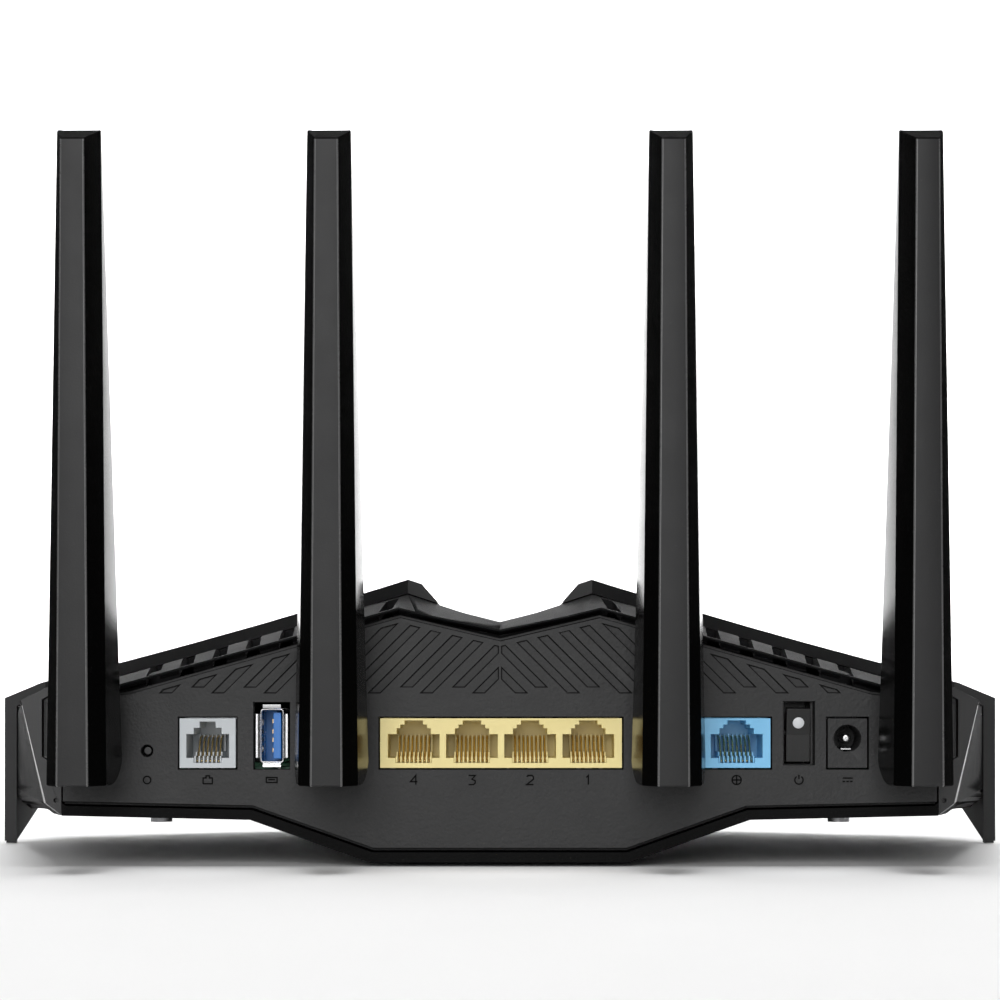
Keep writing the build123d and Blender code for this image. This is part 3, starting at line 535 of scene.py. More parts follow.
def lattice(rows: int, columns: int, closed: bool = True) -> np.ndarray:
    """Faces of a grid of points.

    Args:
        rows: Rings of points.
        columns: Points in each ring.
        closed: Whether each ring is a loop.

    Returns:
        Quads, m by 4, between each ring and the next.
    """
    r, c = np.meshgrid(np.arange(rows - 1), np.arange(columns if closed else columns - 1), indexing="ij")
    right = (c + 1) % columns
    corners = np.stack([r * columns + c, r * columns + right,
                        (r + 1) * columns + right, (r + 1) * columns + c], -1)
    return corners.reshape(-1, 4)


def capped(rows: int, columns: int) -> list[list[int]]:
    """Faces of a tube of rings closed at both ends.

    Args:
        rows: Rings of points.
        columns: Points in each ring.

    Returns:
        The quads between rings, then the two end faces.
    """
    last = (rows - 1) * columns
    return [*lattice(rows, columns).tolist(), list(range(columns)), list(range(last, last + columns))]


def rounded_ring(corners: np.ndarray, radius: np.ndarray | float, steps: int = 4) -> np.ndarray:
    """A closed outline with each corner replaced by a short curve.

    Each curve is the quadratic between the points one radius before and one radius after its corner.

    Args:
        corners: Outlines, (..., n, 2).
        radius: Length cut from each side at a corner.
        steps: Points per corner.

    Returns:
        Outlines, (..., n * steps, 2).
    """
    before, after = np.roll(corners, 1, -2) - corners, np.roll(corners, -1, -2) - corners
    reach = np.asarray(radius)
    a = corners + before / np.linalg.norm(before, axis=-1, keepdims=True) * reach
    b = corners + after / np.linalg.norm(after, axis=-1, keepdims=True) * reach
    t = np.linspace(0.0, 1.0, steps)[:, None]
    a, b, c = a[..., None, :], b[..., None, :], corners[..., None, :]
    curve = a * (1 - t) ** 2 + c * 2 * t * (1 - t) + b * t ** 2
    return curve.reshape(*corners.shape[:-2], -1, 2)


def extruded(name: str, profile: np.ndarray, place: Callable[[np.ndarray, float], np.ndarray],
             span: tuple[float, float], material: bpy.types.Material) -> bpy.types.Object:
    """A closed prism: one outline carried between two levels.

    Args:
        name: The piece's name.
        profile: Outline, n by 2.
        place: Turns the outline and a level into n points.
        span: The two levels.
        material: Its finish.

    Returns:
        The object.
    """
    points = np.concatenate([place(profile, span[0]), place(profile, span[1])])
    return piece(name, points, capped(2, len(profile)), [material], False)


def on_side(profile: np.ndarray, level: float) -> np.ndarray:
    """Place an outline drawn in (Y, Z) at one X.

    Args:
        profile: Outline, n by 2.
        level: The X.

    Returns:
        Points, n by 3.
    """
    return np.stack([np.full(len(profile), level), profile[:, 0], profile[:, 1]], -1)


def on_rear(profile: np.ndarray, level: float) -> np.ndarray:
    """Place an outline drawn in (X, Z) at one Y.

    Args:
        profile: Outline, n by 2.
        level: The Y.

    Returns:
        Points, n by 3.
    """
    return np.stack([profile[:, 0], np.full(len(profile), level), profile[:, 1]], -1)


def middle_x(node: str) -> float:
    """Middle of a CAD node from left to right.

    Args:
        node: The CAD node.

    Returns:
        The X of its middle.
    """
    return sum(corner.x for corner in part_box(node)) / 2


def network_middles() -> list[float]:
    """Middles of the four ganged network sockets.

    Returns:
        Their X, left to right.
    """
    return [middle_x("lan_jack_block") + (i - 1.5) * SOCKET_PITCH for i in range(4)]


def turned(name: str, profile: np.ndarray, centre: tuple[float, float, float], axis: int,
           material: bpy.types.Material, sides: int = 32) -> bpy.types.Object:
    """A body of revolution about an axis along X or Y.

    A point of the profile (distance along the axis, radius) runs round a circle.

    Args:
        name: The piece's name.
        profile: Points (along, radius), the first and last on the axis.
        centre: A point on the axis.
        axis: 0 for X, 1 for Y.
        material: Its finish.
        sides: Points round the circle.

    Returns:
        The object.
    """
    angle = np.linspace(0, 2 * np.pi, sides, endpoint=False)
    along = np.repeat(profile[:, :1], sides, 1)
    first, second = profile[:, 1:] * np.cos(angle), profile[:, 1:] * np.sin(angle)
    parts = [along, first, second] if axis == 0 else [first, along, second]
    points = np.stack(parts, -1).reshape(-1, 3) + np.asarray(centre)
    made = piece(name, points, lattice(len(profile), sides).tolist(), [material])
    merge(made)
    return made


def merge(obj: bpy.types.Object) -> None:
    """Join points that coincide and turn all faces outwards.

    Args:
        obj: The piece.
    """
    shape = bmesh.new()
    shape.from_mesh(obj.data)
    bmesh.ops.remove_doubles(shape, verts=shape.verts, dist=1e-7)
    bmesh.ops.dissolve_degenerate(shape, edges=shape.edges, dist=1e-8)
    bmesh.ops.recalc_face_normals(shape, faces=shape.faces)
    shape.to_mesh(obj.data)
    shape.free()


def bevelled(obj: bpy.types.Object, width_mm: float, segments: int, angle: float) -> None:
    """Round the sharp edges of a piece.

    Args:
        obj: The piece.
        width_mm: Width of the rounding.
        segments: Facets across it.
        angle: Edges sharper than this are rounded, in degrees.
    """
    edge = obj.modifiers.new("edges", "BEVEL")
    edge.width, edge.segments, edge.limit_method = width_mm * MM, segments, "ANGLE"
    edge.angle_limit, edge.harden_normals = math.radians(angle), True
    edge.use_clamp_overlap = True


def cut(obj: bpy.types.Object, tool: bpy.types.Object) -> None:
    """Take one closed shape out of another and drop the tool.

    Args:
        obj: The piece.
        tool: The shape to take out.
    """
    carve = obj.modifiers.new("cut", "BOOLEAN")
    carve.operation, carve.solver, carve.object = "DIFFERENCE", "EXACT", tool
    graph = bpy.context.evaluated_depsgraph_get()
    mesh = bpy.data.meshes.new_from_object(obj.evaluated_get(graph))
    obj.modifiers.clear()
    obj.data = mesh
    bpy.data.objects.remove(tool)


def softened(node: str, material: bpy.types.Material, width_mm: float, segments: int = 2,
             angle: float = 28.0, edge: bpy.types.Material | None = None) -> bpy.types.Object:
    """A copy of a CAD node with its moulded edges rounded, which stands for the node.

    Args:
        node: The CAD node.
        material: Its finish.
        width_mm: Width of the rounding.
        segments: Facets across it.
        angle: Edges sharper than this are rounded, in degrees.
        edge: Another finish for the roundings.

    Returns:
        The copy.
    """
    source = frame["nodes"][node]
    mesh = source.data.copy()
    obj = bpy.data.objects.new(f"{node}_moulding", mesh)
    bpy.context.scene.collection.objects.link(obj)
    shape = bmesh.new()
    shape.from_mesh(mesh)
    bmesh.ops.remove_doubles(shape, verts=shape.verts, dist=2e-6)
    bmesh.ops.dissolve_limit(shape, angle_limit=math.radians(0.4), verts=shape.verts, edges=shape.edges)
    shape.to_mesh(mesh)
    shape.free()
    mesh.materials.clear()
    mesh.materials.append(material)
    mesh.polygons.foreach_set("use_smooth", np.full(len(mesh.polygons), True))
    mesh.set_sharp_from_angle(angle=math.radians(angle))
    bevelled(obj, width_mm, segments, angle)
    if edge:
        mesh.materials.append(edge)
        obj.modifiers["edges"].material = 1
    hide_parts(node)
    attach(obj, source["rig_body"])
    return obj


def dress(node: str, material: bpy.types.Material) -> None:
    """Give a CAD node its finish.

    Args:
        node: The CAD node.
        material: The finish.
    """
    mesh = frame["nodes"][node].data
    mesh.materials.clear()
    mesh.materials.append(material)


# ------------------------------------------------------------------ antennas
class Side(Enum):
    """The four antennas by their place along the rear edge."""

    FAR_LEFT = "far_left"
    MID_LEFT = "mid_left"
    MID_RIGHT = "mid_right"
    FAR_RIGHT = "far_right"


@dataclass
class Antenna:
    """One folding antenna: faceted blade, cover strip, pin caps and knuckle."""

    side: Side
    palette: Palette
    foot_z: float = 20.0 * MM
    tip_drop: float = 5.1 * MM
    tip_run: float = 13 * MM
    tip_lead: float = 2 * MM
    # in millimetres: rear flat, full width, shoulder depth, depth, flank width, far flat, far chamfer
    base: tuple[float, ...] = (7.2, 13.8, 6.0, 20.0, 17.8, 15.0, 1.0)
    tip: tuple[float, ...] = (5.4, 10.2, 9.6, 12.5, 10.2, 6.6, 1.8)
    pin_y: float = -82.9 * MM
    pin_z: float = 27.4 * MM
    edge: float = 0.3 * MM
    core: float = 5.5 * MM  # half width that the end rings shrink towards
    heel_y: float = -83.5 * MM
    heel_z: float = 31.0 * MM
    heel_r: float = 11.0 * MM

    def __post_init__(self) -> None:
        """Read the blade's place from the frame."""
        low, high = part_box(f"{self.side.value}_antenna_blade")
        self.x = (low.x + high.x) / 2
        self.rear_y = low.y
        self.top_z = high.z

    def section(self, height: np.ndarray) -> np.ndarray:
        """Cross-section corners at each height: rear flat, two long chamfers, sides, small far chamfers.

        Args:
            height: Fraction of the way from foot to tip, (m,).

        Returns:
            Corners, (m, 8, 2), in metres from the blade's rear centre.
        """
        base, tip = np.array(self.base) * MM, np.array(self.tip) * MM
        flat, width, shoulder, depth, flank, back, bevel = (base + (tip - base) * height[:, None]).T
        zero = np.zeros_like(flat)
        half = [(flat / 2, zero), (width / 2, shoulder), (flank / 2, depth - bevel), (back / 2, depth)]
        ring = half + [(-a, b) for a, b in reversed(half)]
        return np.stack([np.stack(corner, -1) for corner in ring], 1)

    def blade(self) -> bpy.types.Object:
        """The blade: rings of the rounded section, sheared so that the last one lies in the sloping tip."""
        # height of each ring as a fraction, and how far it's drawn in at the two ends
        rise = np.array([0.0, 0.0, 0.002, 0.05, 0.17, 0.3, 0.45, 0.6, 0.75, 0.88, 0.96, 0.9985, 1.0, 1.0])
        inset = np.array([0.5, 0.2, 0, 0, 0, 0, 0, 0, 0, 0, 0, 0.0, 0.16, 0.5]) * MM
        ring = rounded_ring(self.section(rise), self.edge, 5)
        middle = ring.mean(1, keepdims=True)
        ring = middle + (ring - middle) * (1 - inset[:, None, None] / self.core)
        slope = self.tip_drop / self.tip_run
        top = np.minimum(self.top_z, self.top_z - self.tip_drop + (ring[..., 1] + self.tip_lead) * slope)
        z = self.foot_z + rise[:, None] * (top - self.foot_z)
        points = np.stack([ring[..., 0] + self.x, ring[..., 1] + self.rear_y, z], -1)
        rows, columns = z.shape
        keys = ("blade_face", "blade_side", "blade_gloss", "blade_edge")
        made = piece(f"{self.side.value}_blade", points, capped(rows, columns),
                     [self.palette[key] for key in keys])
        # finishes round one ring: five points per corner, grained and darkened with painted shade between
        # them unless said otherwise; the rear flat's edge roundings take the painted highlight
        around = np.ones(columns, np.int32)
        around[4::5] = (1, 2, 0, 0, 0, 2, 1, 0)
        around[[0, 1, 2, 3, 35, 36, 37, 38]] = 3
        used = np.tile(around, (rows - 1, 1))
        used[-2:] = 1
        made.data.polygons.foreach_set("material_index", np.concatenate([used.ravel(), [1, 1]]))
        return made

    def fork(self) -> bpy.types.Object:
        """The slot round the knuckle's tongue, as a shape to take out."""
        y, z = self.rear_y, self.foot_z
        wall, deep, below = 3.2 * MM, 25 * MM, 1 * MM
        outline = np.array([(y + wall, z - below), (y + wall, 40 * MM), (y + 8 * MM, 45.5 * MM),
                            (y + deep, 45.5 * MM), (y + deep, z - below)])
        span = (self.x - wall, self.x + wall)
        return extruded("fork", outline, on_side, span, self.palette["knuckle"])

    def heel(self) -> bpy.types.Object:
        """What lies outside a quarter circle at the foot's lower far corner, as a shape to take out."""
        turn = np.linspace(-np.pi / 2, 0, 16)
        arc = np.stack([np.cos(turn), np.sin(turn)], -1) * self.heel_r + (self.heel_y, self.heel_z)
        reach, half = 20 * MM, 12 * MM
        outer = np.array([(self.heel_y + reach, self.heel_z), (self.heel_y + reach, self.heel_z - reach),
                          (self.heel_y, self.heel_z - reach)])
        return extruded("heel", np.concatenate([arc, outer]), on_side,
                        (self.x - half, self.x + half), self.palette["blade_face"])

    def strip(self) -> bpy.types.Object:
        """Cover strip on the far face: a rounded outline laid along the blade, standing a hair proud."""
        level = np.array([0.202, 0.205, 0.4, 0.6, 0.8, 0.928, 0.931])
        corners = self.section(level)
        half, depth = corners[:, 3, 0] - 0.55 * MM, corners[:, 3, 1]
        shrink = np.array([0.4, 0, 0, 0, 0, 0, 0.4]) * MM
        half, proud, sunk = half - shrink, depth + 0.18 * MM - shrink * 0.3, depth - 1.2 * MM
        outline = np.stack([np.stack(corner, -1) for corner in
                            ((-half, sunk), (half, sunk), (half, proud), (-half, proud))], 1)
        ring = rounded_ring(outline, 0.25 * MM, 3)
        z = (self.foot_z + level * (self.top_z - self.foot_z))[:, None]
        points = np.stack([ring[..., 0] + self.x, ring[..., 1] + self.rear_y,
                           np.broadcast_to(z, ring.shape[:2])], -1)
        return piece(f"{self.side.value}_blade_cover", points, capped(*ring.shape[:2]),
                     [self.palette["blade_side"]])

    def pin_caps(self) -> list[bpy.types.Object]:
        """Shallow domed caps where the pin's ends are closed off in the cheeks."""
        made = []
        cheek = 6.9
        for sign, word in ((-1, "left"), (1, "right")):
            profile = np.array([(-0.8, 0), (-0.8, 1.7), (0.02, 1.7), (0.14, 1.5), (0.16, 0.9),
                                (0.05, 0.6), (0.05, 0)]) * MM + (cheek * MM, 0)
            profile[:, 0] *= sign
            made.append(turned(f"{self.side.value}_pin_cap_{word}", profile,
                               (self.x, self.pin_y, self.pin_z), 0, self.palette["knuckle"]))
        return made

    def build(self) -> None:
        """Make and place every piece of the antenna."""
        name = self.side.value
        blade = self.blade()
        cut(blade, self.fork())
        cut(blade, self.heel())
        blade.data.polygons.foreach_set("use_smooth", np.full(len(blade.data.polygons), True))
        blade.data.set_sharp_from_angle(angle=math.radians(32))
        body = f"{name}_blade"
        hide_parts(f"{name}_antenna_blade")
        strip = self.strip()
        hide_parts(f"{name}_antenna_cover")
        for obj in (blade, strip, *self.pin_caps()):
            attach(obj, body)
        knuckle = softened(f"{name}_antenna_knuckle", self.palette["knuckle"], 0.5, 3, 35)
        dress(f"{name}_antenna_pin", self.palette["steel"])
        dress(f"{name}_antenna_radiator", self.palette["board"])
        log.info("antenna %s built", name)


# ------------------------------------------------------------------ housing
@dataclass
class Housing:
    """Tray, cover, wings, corner bezels and the socket panel."""

    palette: Palette
    # last column: finish of the edge roundings; the rear panel's is painted edge shade
    mouldings: dict[str, tuple[str, float, int, str]] = field(default_factory=lambda: {
        "rear_panel": ("panel", 0.28, 2, "seam"), "top_cover": ("cover", 0.2, 2, ""),
        "bottom_case": ("tray", 0.4, 2, ""), "left_wing": ("wing", 0.45, 3, ""),
        "right_wing": ("wing", 0.45, 3, ""), "left_corner_trim": ("trim", 0.35, 3, ""),
        "right_corner_trim": ("trim", 0.35, 3, "")})
    plain: dict[str, str] = field(default_factory=lambda: {
        "leg_pads": "rubber", "rubber_feet": "rubber", "label_plate": "film", "main_board": "board",
        "front_board": "board", "board_screws": "screw", "case_screws": "screw", "shield_cans": "steel",
        "chips": "chip", "thermal_pads": "pad", "heatsink": "alu", "capacitors": "alu",
        "antenna_bushes": "acetal", "antenna_leads": "sleeve", "tact_switches": "chip",
        "led_light_guide": "light", "led_chips": "white"})

    def build(self) -> None:
        """Round the mouldings and dress what stays as it is."""
        for node, (finish, width, segments, edge) in self.mouldings.items():
            # the edge finish paints shade into the roundings
            seam = self.palette[edge] if edge else None
            softened(node, self.palette[finish], width, segments, edge=seam)
            log.info("moulding %s built", node)
        for node, finish in self.plain.items():
            dress(node, self.palette[finish])
        for node in ("wps_button", "wifi_button", "reset_plunger"):
            softened(node, self.palette["trim"], 0.3, 3)


# ------------------------------------------------------------------ sockets
@dataclass
class SocketRow:
    """Coloured modular sockets with their sprung wires, the USB mouth and the power inlet."""

    palette: Palette
    pitch: float = 1.02 * MM
    rear_y: float = -64.7 * MM

    def wires(self, node: str, centres: Sequence[float], count: int) -> None:
        """Sprung contact wires, all in one piece.

        A wire's path leaves the lower lip, bends up in a small arc and leans back to the rear wall; an
        oval of ten points is carried along it.

        Args:
            node: The CAD node the wires stand for.
            centres: X of each socket's middle.
            count: Wires in each socket.
        """
        t = np.linspace(0, 1, 22)
        start, run, low, rise, dip = 0.9, 12.0, 25.1, 5.9, 0.35
        y = self.rear_y + (start + run * t) * MM
        lift = 1 / (1 + np.exp(-(t - 0.33) * 13.0))
        z = (low + rise * lift - dip * np.exp(-((t - 0.16) / 0.1) ** 2)) * MM
        path = np.stack([y, z], -1)
        tangent = np.gradient(path, axis=0)
        tangent /= np.linalg.norm(tangent, axis=1, keepdims=True)
        normal = np.stack([-tangent[:, 1], tangent[:, 0]], -1)
        turn = np.linspace(0, 2 * np.pi, 10, endpoint=False)
        side, up = 0.21 * MM * np.cos(turn), 0.16 * MM * np.sin(turn)
        yz = path[:, None, :] + normal[:, None, :] * up[None, :, None]
        across = (np.arange(count) - (count - 1) / 2) * self.pitch
        x = (np.asarray(centres)[:, None] + across[None, :]).reshape(-1)
        points = np.empty((len(x), len(t), len(turn), 3))
        points[..., 0] = x[:, None, None] + side[None, None, :]
        points[..., 1:] = yz[None]
        step = len(t) * len(turn)
        faces = [[first + corner for corner in face] for first in range(0, len(x) * step, step)
                 for face in capped(len(t), len(turn))]
        made = piece(f"{node}_wires", points.reshape(-1, 3), faces, [self.palette["gold"]])
        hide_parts(node)
        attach(made, "housing")

    def comb(self, name: str, centres: Sequence[float], count: int, material: str) -> None:
        """Thin ribs that keep the wires apart, along each socket's lower lip and rear wall.

        Args:
            name: The piece's name.
            centres: X of each socket's middle.
            count: Wires in each socket.
            material: Finish of the ribs.
        """
        ribs = (np.arange(count + 1) - count / 2) * self.pitch
        x = (np.asarray(centres)[:, None] + ribs[None, :]).reshape(-1)
        half = 0.17 * MM
        # depth behind the sockets' faces and height of the lip, floor and rear wall stretches
        blocks = [((0.35, 3.0), (24.75, 26.35)), ((3.0, 12.6), (25.7, 27.3)), ((10.2, 12.9), (27.2, 31.4))]
        corners, faces = [], []
        box = np.array([(i ^ j, j, k) for k in (0, 1) for j in (0, 1) for i in (0, 1)])
        sides = [(0, 3, 2, 1), (4, 5, 6, 7), (0, 1, 5, 4), (1, 2, 6, 5), (2, 3, 7, 6), (3, 0, 4, 7)]
        for (y0, y1), (z0, z1) in blocks:
            for middle in x:
                low = np.array([middle - half, self.rear_y + y0 * MM, z0 * MM])
                high = np.array([middle + half, self.rear_y + y1 * MM, z1 * MM])
                start = 8 * len(corners)
                corners.append(low + box * (high - low))
                faces += [[start + i for i in quad] for quad in sides]
        made = piece(name, np.concatenate(corners), faces, [self.palette[material]], False)
        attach(made, "housing")

    def usb(self) -> None:
        """Steel mouth with four flared lips, the tongue, its contacts and two sprung dimples."""
        low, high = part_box("usb_shell")
        middle = np.array([middle_x("usb_shell"), (low.z + high.z) / 2])
        wide, tall, sheet = 2.85 * MM, 6.55 * MM, 0.35 * MM
        corners = np.array([(-wide, -tall), (wide, -tall), (wide, tall), (-wide, tall)])
        outer = rounded_ring(corners, 0.9 * MM, 6) + middle
        inner = rounded_ring(corners * (1 - sheet / np.array([wide, tall])), 0.6 * MM, 6) + middle
        front, rear = low.y + 0.75 * MM, high.y - 0.1 * MM
        ring = np.stack([on_rear(outer, front + 0.1 * MM), on_rear(outer, rear), on_rear(inner, rear),
                         on_rear(inner, front + 0.1 * MM), on_rear((inner + outer) / 2, front)])
        loop = np.concatenate([ring, ring[:1]])
        tube = piece("usb_mouth", loop, lattice(len(loop), len(outer)).tolist(), [self.palette["steel"]])
        merge(tube)
        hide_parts("usb_shell")
        made = [tube]
        # a lip's section is a quarter ellipse from inside the mouth outwards and forwards
        flare, inside, proud = 0.95 * MM, 0.9 * MM, 0.62 * MM
        t = np.linspace(0, np.pi / 2, 7)
        bend, depth = flare * (1 - np.cos(t)), front + inside - (inside + proud) * np.sin(t)
        for word, across in (("top", (0, 1)), ("bottom", (0, -1)), ("left", (-1, 0)), ("right", (1, 0))):
            level = across[0] == 0
            reach, half = (tall, wide - 0.7 * MM) if level else (wide, tall - 1.3 * MM)
            across, along = np.array(across, float), np.array((1.0, 0.0) if level else (0.0, 1.0))
            rows = []
            for out in (0.0, -sheet):
                for end in (-1, 1):
                    flat = middle + across * (reach + out + bend)[:, None] + along * half * end
                    y = np.maximum(depth, low.y + 0.02 * MM)
                    rows.append(np.stack([flat[:, 0], y, flat[:, 1]], -1))
            quad = np.stack([rows[0], rows[1], rows[3], rows[2]], 1)
            lip = piece(f"usb_lip_{word}", quad, capped(len(t), 4), [self.palette["steel"]])
            lip.data.set_sharp_from_angle(angle=math.radians(40))
            made.append(lip)
        for index, offset in enumerate((-3.2, 3.2)):
            profile = np.array([(0, 0), (0, 0.9), (0.25, 0.75), (0.38, 0.4), (0.4, 0)]) * MM
            profile[:, 0] += middle[0] - wide + sheet * 0.8
            made.append(turned(f"usb_spring_dimple_{index}", profile,
                               (0, low.y + 4 * MM, middle[1] + offset * MM), 0, self.palette["steel"], 20))
        for obj in made:
            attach(obj, "housing")
        softened("usb_tongue", self.palette["usb_blue"], 0.15)
        dress("usb_contacts", self.palette["gold"])

    def power(self) -> None:
        """Switch, its rocker with a round inlay, and the barrel inlet with its rim."""
        softened("power_switch_housing", self.palette["socket_black"], 0.25)
        softened("power_rocker", self.palette["rocker"], 0.35, 3)
        softened("dc_jack_housing", self.palette["panel"], 0.18)
        dress("dc_jack_contacts", self.palette["steel"])
        tilt, pivot = math.radians(8.0), (middle_x("power_rocker"), -59.5 * MM, 31.85 * MM)
        profile = np.array([(-3.62, 0), (-3.62, 1.36), (-3.52, 1.42), (-3.0, 1.42), (-3.0, 0)]) * MM
        inlay = turned("rocker_inlay", profile, (0, 0, 0), 1, self.palette["white"], 40)
        # a raised bar in the painted highlight finish stands for the bright line along the rocker's top
        bar = np.array([(-3.1, -0.22), (-3.82, -0.12), (-3.82, 0.12), (-3.1, 0.22)]) * MM
        ridge = extruded("rocker_highlight_ridge", rounded_ring(bar, 0.06 * MM, 3), on_side, (-2.3 * MM, 2.3 * MM),
                         self.palette["blade_edge"])
        slope = math.atan2(0.6, 6.45)
        for obj, height in ((inlay, 3.3 * MM), (ridge, 5.7 * MM)):
            points = np.array([v.co for v in obj.data.vertices])
            for angle, shift in ((slope, (0.0, 0.02 * MM, height)), (tilt, pivot)):
                c, d = math.cos(angle), math.sin(angle)
                points = points @ np.array([[1, 0, 0], [0, c, -d], [0, d, c]]).T + np.array(shift)
            obj.data.vertices.foreach_set("co", points.reshape(-1))
            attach(obj, "rocker")

    def build(self) -> None:
        """Make and place every socket."""
        for node, wires, centres, count, finish, slot in (
                ("lan_jack_block", "lan_contacts", network_middles(), 8, "yellow", "lan_yellow"),
                ("wan_jack", "wan_contacts", [middle_x("wan_jack")], 8, "blue", "wan_blue"),
                ("dsl_jack", "dsl_contacts", [middle_x("dsl_jack")], 6, "grey", "dsl_grey")):
            softened(node, self.palette[finish], 0.14)
            self.wires(wires, centres, count)
            self.comb(f"{node}_comb", centres, count, finish)
            log.info("socket %s built", node)
        self.usb()
        self.power()


# ------------------------------------------------------------------ moulded marks
class Mark(Enum):
    """Plain signs below the sockets, as strokes in millimetres about each sign's middle."""

    ONE = (((-0.5, 0.6), (0, 1.1), (0, -1.1)),)
    TWO = (((-0.8, 0.8), (-0.4, 1.1), (0.5, 1.1), (0.8, 0.7), (0.8, 0.2), (-0.8, -1.1), (0.8, -1.1)),)
    THREE = (((-0.8, 1.1), (0.8, 1.1), (0, 0.2), (0.8, -0.2), (0.8, -0.7), (0.4, -1.1), (-0.8, -1.1)),)
    FOUR = (((0.5, -1.1), (0.5, 1.1), (-0.8, -0.4), (0.9, -0.4)),)
    PLUG = (((-1.1, -0.9), (-1.1, 0.5), (-0.4, 0.5), (-0.4, 1.0), (0.4, 1.0), (0.4, 0.5), (1.1, 0.5),
             (1.1, -0.9), (-1.1, -0.9)),)
    GLOBE = (tuple((1.1 * math.cos(a), 1.1 * math.sin(a)) for a in np.linspace(0, 2 * math.pi, 21)),
             ((-1.1, 0), (1.1, 0)), ((0, -1.1), (0, 1.1)))
    SWITCH = (tuple((math.sin(a), math.cos(a)) for a in np.linspace(0.6, 2 * math.pi - 0.6, 19)),
              ((0, 0.2), (0, 1.25)))
    INLET = (((-1.2, 0.45), (1.2, 0.45)), ((-1.2, -0.35), (-0.6, -0.35)), ((-0.3, -0.35), (0.3, -0.35)),
             ((0.6, -0.35), (1.2, -0.35)))
    BOX = (((-1.3, -0.6), (-1.3, 0.6), (1.3, 0.6), (1.3, -0.6), (-1.3, -0.6)), ((-0.8, 0.1), (0.8, 0.1)))
    DOT = (tuple((0.9 * math.cos(a), 0.9 * math.sin(a)) for a in np.linspace(0, 2 * math.pi, 17)),)


@dataclass
class Marks:
    """Raised generic signs moulded into the panel below the sockets."""

    palette: Palette
    level_z: float = 20.6 * MM
    stroke: float = 0.36 * MM
    height: float = 0.16 * MM
    crown: float = 0.7  # width of a stroke's flat top as a share of its foot

    def line(self, points: np.ndarray) -> tuple[np.ndarray, list[list[int]]]:
        """A raised bar of even width along a path, mitred at its corners.

        Args:
            points: Path in (X, Z), n by 2.

        Returns:
            Corners and quads of the closed bar.
        """
        step = np.diff(points, axis=0)
        step /= np.linalg.norm(step, axis=1, keepdims=True)
        before, after = np.vstack([step[:1], step]), np.vstack([step, step[-1:]])
        normal = np.stack([-(before + after)[:, 1], (before + after)[:, 0]], -1)
        normal /= np.sum(normal * np.stack([-before[:, 1], before[:, 0]], -1), 1, keepdims=True)
        side = normal * self.stroke / 2
        low, high = PANEL_Y + 0.05 * MM, PANEL_Y - self.height
        ring = np.stack([on_rear(points + side, low), on_rear(points + side * self.crown, high),
                         on_rear(points - side * self.crown, high), on_rear(points - side, low)], 1)
        return ring.reshape(-1, 3), capped(len(points), 4)

    def build(self) -> None:
        """Make every sign."""
        places = [(Mark.DOT, -84.7 * MM)]
        places += [(mark, middle_x(node)) for mark, node in (
            (Mark.PLUG, "dsl_jack"), (Mark.BOX, "usb_shell"), (Mark.GLOBE, "wan_jack"),
            (Mark.SWITCH, "power_rocker"), (Mark.INLET, "dc_jack_housing"))]
        places += zip((Mark.FOUR, Mark.THREE, Mark.TWO, Mark.ONE), network_middles())
        for mark, x in places:
            corners, faces, count = [], [], 0
            for stroke in mark.value:
                points, quads = self.line(np.array(stroke) * MM + (x, self.level_z))
                corners.append(points)
                faces += [[count + corner for corner in quad] for quad in quads]
                count += len(points)
            made = piece(f"mark_{mark.name.lower()}", np.concatenate(corners), faces,
                         [self.palette["mark"]], False)
            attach(made, "housing")
        log.info("%d marks built", len(places))


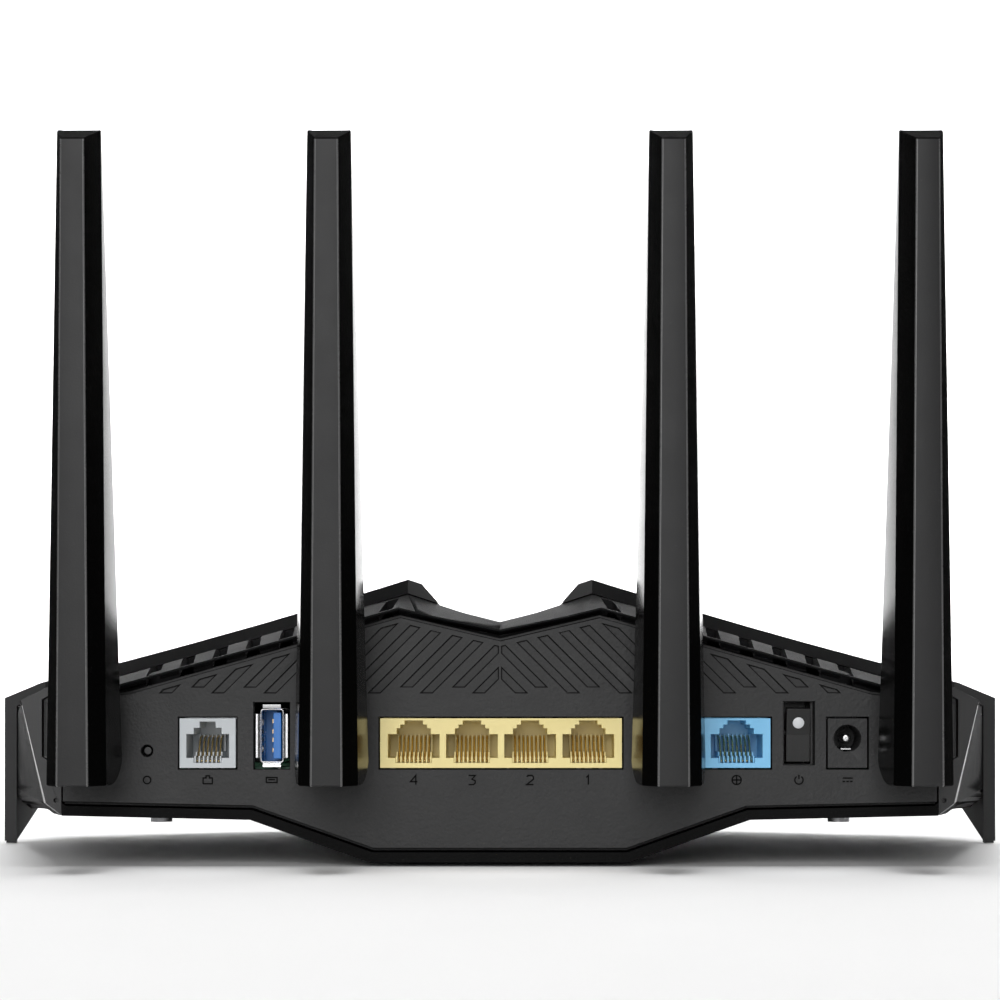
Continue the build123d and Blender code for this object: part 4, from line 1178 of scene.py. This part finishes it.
# ------------------------------------------------------------------ studio
@dataclass
class Studio:
    """Pale sweep, soft lights and the camera behind the router."""

    distance: float = 0.600
    eye_z: float = 41.0 * MM
    lens: float = 90.0
    lift: float = 0.195

    def sweep(self) -> None:
        """Floor a hair under the feet that curves up into a wall: straight, quarter circle, straight."""
        turn = np.linspace(0, np.pi / 2, 24)
        radius, back, front, top, drop = 0.6, 0.8, -3.0, 3.0, 0.2 * MM
        y = np.concatenate([[front], back + radius * np.sin(turn), [back + radius]])
        z = np.concatenate([[0.0], radius * (1 - np.cos(turn)), [top]]) - drop
        points = np.stack(np.broadcast_arrays(np.array([[-0.7, 0.7]]), y[:, None], z[:, None]), -1)
        g = Graph("studio_paper")
        g.set(Base_Color=g.blend(g.noise(60.0, 2.0), (0.86, 0.86, 0.86), (0.88, 0.88, 0.88)), Roughness=0.9)
        made = piece("studio_floor", points, lattice(len(y), 2, False).tolist(), [g.material])

    def lamp(self, name: str, place: tuple[float, float, float], aim: tuple[float, float, float],
             size: float, power: float, spread: float = 180.0) -> None:
        """A square soft light.

        Args:
            name: Name of the light.
            place: Where it hangs.
            aim: Where it points.
            size: Side of the square.
            power: Watts.
            spread: Angle of its beam in degrees.
        """
        data = bpy.data.lights.new(name, "AREA")
        data.size, data.energy, data.spread = size, power, math.radians(spread)
        obj = bpy.data.objects.new(name, data)
        obj.location = place
        obj.rotation_euler = (Vector(aim) - Vector(place)).to_track_quat("-Z", "Y").to_euler()
        bpy.context.scene.collection.objects.link(obj)

    def build(self) -> None:
        """Set the stage."""
        scene = bpy.context.scene
        scene.view_settings.view_transform = "Standard"
        world = bpy.data.worlds.new("studio")
        scene.world = world
        world.use_nodes = True
        sky = world.node_tree.nodes["Background"]
        sky.inputs[0].default_value, sky.inputs[1].default_value = (1, 1, 1, 1), 0.10
        self.sweep()
        self.lamp("front_box", (-0.25, -2.0, 0.75), (0, 0, 0.08), 1.3, 26.0)
        self.lamp("top_box", (0.0, 0.1, 1.5), (0, 0.1, 0.0), 1.0, 6.5, 100.0)
        self.lamp("paper_box", (0.0, 0.35, 1.7), (0, 1.35, 0.35), 1.2, 26.0, 80.0)
        camera = bpy.data.objects.new("camera", bpy.data.cameras.new("camera"))
        camera.data.lens, camera.data.sensor_width = self.lens, 36.0
        camera.data.shift_y = self.lift
        camera.data.clip_start, camera.data.clip_end = 0.01, 50.0
        camera.location = (0.0, PANEL_Y - self.distance, self.eye_z)
        camera.rotation_euler = (math.pi / 2, 0, 0)
        scene.collection.objects.link(camera)
        scene.camera = camera


def main() -> None:
    """Build the router's looks in order."""
    logging.basicConfig(level=logging.INFO, format="%(message)s")
    palette = Palette()
    Studio().build()
    Housing(palette).build()
    for side in Side:
        Antenna(side, palette).build()
    SocketRow(palette).build()
    Marks(palette).build()


if __name__ == "__main__":
    main()
